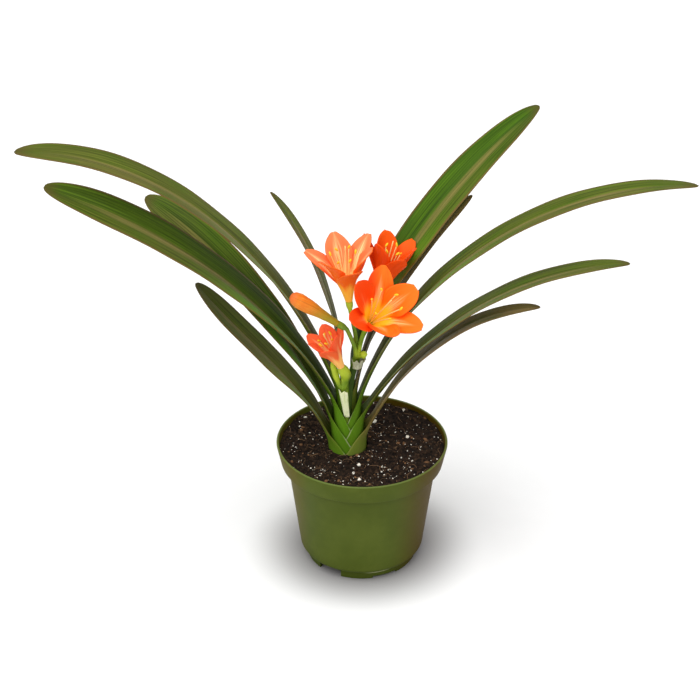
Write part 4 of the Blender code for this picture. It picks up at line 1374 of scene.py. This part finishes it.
def make_umbel(paint):
    """The main scape with its pedicels, ovaries and small green bud, as one body."""
    middle = scape_y(MAIN_SCAPE_LAYER, MAIN_SCAPE_ROOM)
    points = rising(PLANT.x, middle, SCAPE_TOP, SOIL_TOP + 38 * MM)
    scape = flattened_stalk("Main_Scape", points, SCAPE_RADIUS, SCAPE_FLATNESS)
    head = SCAPE_TOP - Vector((0, 0, SCAPE_HEAD))
    limbs = []
    swells = []
    for row in BLOOMS[:3]:
        end, along = seat(row)
        out = Vector((along.x, along.y, 0))
        lean = Vector((along.x * 2, along.y * 2, 16)) * MM
        limbs.append(stalk(head + out * 1.5 * MM, lean, end, along))
        swells.append(end - along * OVARY_MIDDLE)
    along = BUD_FACING.normalized()
    end = BUD_FOOT + along * SEAT_DEPTH
    limbs.append(stalk(head + Vector((-1.5, -1, 0)) * MM, Vector((0, -5, 13)) * MM, end, along))
    small = head + SMALL_BUD_REACH
    points = [head.lerp(small, step / 3) for step in range(4)]
    points += [small + SMALL_BUD_RISE * share for share in (0.25, 0.5, 0.75, 1)]
    limbs.append(tube("Small_Bud", points, [radius * MM for radius in SMALL_BUD_RADII], sides=16))
    swells.append(small + SMALL_BUD_RISE * 0.5)
    umbel = fused(scape, limbs)
    mark_swell(umbel, swells)
    return dressed(umbel, ["Umbel"], "stalk", paint, sharp=50)


def make_second_scape(paint):
    """The short scape with the ovary of the low bloom and a green bud beside it, as one body."""
    middle = scape_y(SECOND_SCAPE_LAYER, SECOND_SCAPE_ROOM)
    points = rising(PLANT.x - 0.8 * MM, middle, SECOND_TOP, SOIL_TOP + 36 * MM)
    scape = flattened_stalk("Short_Scape", points, SECOND_RADIUS, SECOND_FLATNESS)
    head = SECOND_TOP - Vector((0, 0, SCAPE_HEAD))
    end, along = seat(BLOOMS[3])
    foot = end - along * LOW_STALK_END
    points = [head.lerp(foot, step / 4) for step in range(5)]
    radii = list(LOW_STALK_RADII)
    for back, radius in LOW_OVARY:
        points.append(end - along * back * MM)
        radii.append(radius)
    ovary = tube("Ovary", points, [radius * MM for radius in radii], sides=20)
    reach = [Vector(place) * MM for place in GREEN_BUD_REACH]
    bud_points = []
    bud_radii = []
    for index in range(4):
        for step in range(4):
            share = step / 4
            bud_points.append(head + reach[index].lerp(reach[index + 1], share))
            bud_radii.append(mix(GREEN_BUD_RADII[index], GREEN_BUD_RADII[index + 1], smooth(share)) * MM)
    bud_points.append(head + reach[4])
    bud_radii.append(GREEN_BUD_RADII[4] * MM)
    bud = tube("Green_Bud", bud_points, bud_radii, sides=16)
    second = fused(scape, [ovary, bud])
    mark_swell(second, [end - along * OVARY_MIDDLE, head + reach[2], head + reach[3]])
    return dressed(second, ["Second_Scape"], "stalk", paint, sharp=50)


def make_cup(name, foot, direction, shape_rows, wrap, depth, teeth, node, slot, paint):
    """A thin, creased sheath round a stalk, its upper edge torn into points."""
    top = shape_rows[-1][0]
    shape = bmesh.new()
    bmesh.ops.create_grid(shape, x_segments=CUP_COLUMNS, y_segments=CUP_ROWS, size=0.5)
    shape.verts.ensure_lookup_table()
    for index, vertex in enumerate(shape.verts):
        row, column = divmod(index, CUP_COLUMNS + 1)
        share = row / CUP_ROWS
        t = column / CUP_COLUMNS * 2 - 1
        angle = math.radians(wrap * t - 90)
        height = top * share * MM
        reach = along_rows(shape_rows, top * share) * MM
        reach += math.sin(column * 0.9) * 0.12 * MM * share
        reach += noise.noise(Vector((column * 0.21, share * 3, teeth))) * 0.5 * MM * share
        rise = height - depth * share ** 3 * (0.5 + 0.5 * math.cos(t * teeth * math.pi))
        vertex.co = (reach * math.cos(angle), reach * math.sin(angle), rise)
    cup = built(name, shape)
    wall = cup.modifiers.new("Wall", "SOLIDIFY")
    wall.thickness = PAPER_THICKNESS
    wall.offset = 1
    cup = applied(cup)
    cup.data.transform(facing(foot, direction))
    return dressed(cup, [node], slot, paint)


# Studio


def make_studio():
    """A pale floor, a white surround and two soft lamps."""
    shape = bmesh.new()
    bmesh.ops.create_grid(shape, x_segments=1, y_segments=1, size=FLOOR_HALF)
    floor = built("Floor", shape)
    floor.data.materials.append(floor_paint("Floor_White_Painted_Shadow"))
    world = bpy.context.scene.world or bpy.data.worlds.new("Studio")
    bpy.context.scene.world = world
    world.use_nodes = True
    back = world.node_tree.nodes["Background"]
    back.inputs["Color"].default_value = (1, 1, 1, 1)
    back.inputs["Strength"].default_value = WORLD_STRENGTH
    bpy.context.scene.view_settings.view_transform = "Standard"
    for name, place, spread, strength in LAMPS:
        data = bpy.data.lights.new(name, "SUN")
        data.angle = math.radians(spread)
        data.energy = strength
        lamp = link(name, data)
        lamp.location = place
        lamp.rotation_euler = (-Vector(place)).to_track_quat("-Z", "Y").to_euler()


def make_camera():
    data = bpy.data.cameras.new("Camera")
    data.sensor_width = SENSOR_WIDTH
    data.lens = CAMERA_LENS
    data.clip_end = 50
    camera = link("Camera", data)
    camera.location = CAMERA_PLACE
    camera.rotation_euler = (math.radians(90 - CAMERA_PITCH), 0, math.radians(CAMERA_YAW))
    bpy.context.scene.camera = camera


def make_flowers():
    """The blooms and the closed bud."""
    filament = pollen_paint("Filament", (0.95, 0.78, 0.32), (0.9, 0.6, 0.18), 0.4)
    pollen = pollen_paint("Pollen", (0.95, 0.68, 0.02), (0.85, 0.48, 0.01), 0.65)
    for row in BLOOMS:
        slot = row[1]
        outside = petal_paint(*PETALS_OUTSIDE[slot])
        inside = petal_paint(*PETALS_INSIDE[slot])
        make_bloom(row, outside, inside, filament, pollen)
    make_bud("Closed_Bud", bud_paint("Bud_Orange_Olive"))


def make_stalks():
    """Both scapes, and the papery sheaths round them."""
    green = stalk_paint("Stalk_Green", (0.1, 0.19, 0.012), (0.2, 0.31, 0.02), (0.46, 0.56, 0.03))
    make_umbel(green)
    make_second_scape(green)
    paper = paper_paint("Dried_Paper", (0.45, 0.45, 0.3), (0.17, 0.17, 0.08), 500)
    place = (SCAPE_TOP + DRIED_OFFSET, DRIED_FACING)
    make_cup("Dried_Bract_Cup", *place, DRIED_ROWS, 95, 3 * MM, 5, "Dried_Bracts", "dried_paper", paper)
    cream = paper_paint("Spathe_Cream", (0.8, 0.82, 0.52), (0.42, 0.52, 0.14), 260)
    place = (SPATHE_FOOT, SPATHE_FACING)
    make_cup("Spathe_Sheath", *place, SPATHE_ROWS, 60, 2 * MM, 2, "Pale_Spathe", "spathe", cream)


def main():
    make_pot(pot_paint("Olive_Plastic"))
    make_grains(make_soil(soil_paint("Damp_Peat")))
    upper = leaf_paint("Leaf_Upper")
    under = leaf_paint("Leaf_Under", underside=True)
    for layer, row in enumerate(LEAVES):
        make_leaf(row, layer, upper, under)
    make_flowers()
    make_stalks()
    root_paint = paper_paint("Root_Cream", (0.5, 0.42, 0.25), (0.3, 0.22, 0.1), 300)
    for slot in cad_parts["Rootstock"].material_slots:
        slot.material = root_paint
    make_studio()
    make_camera()


main()
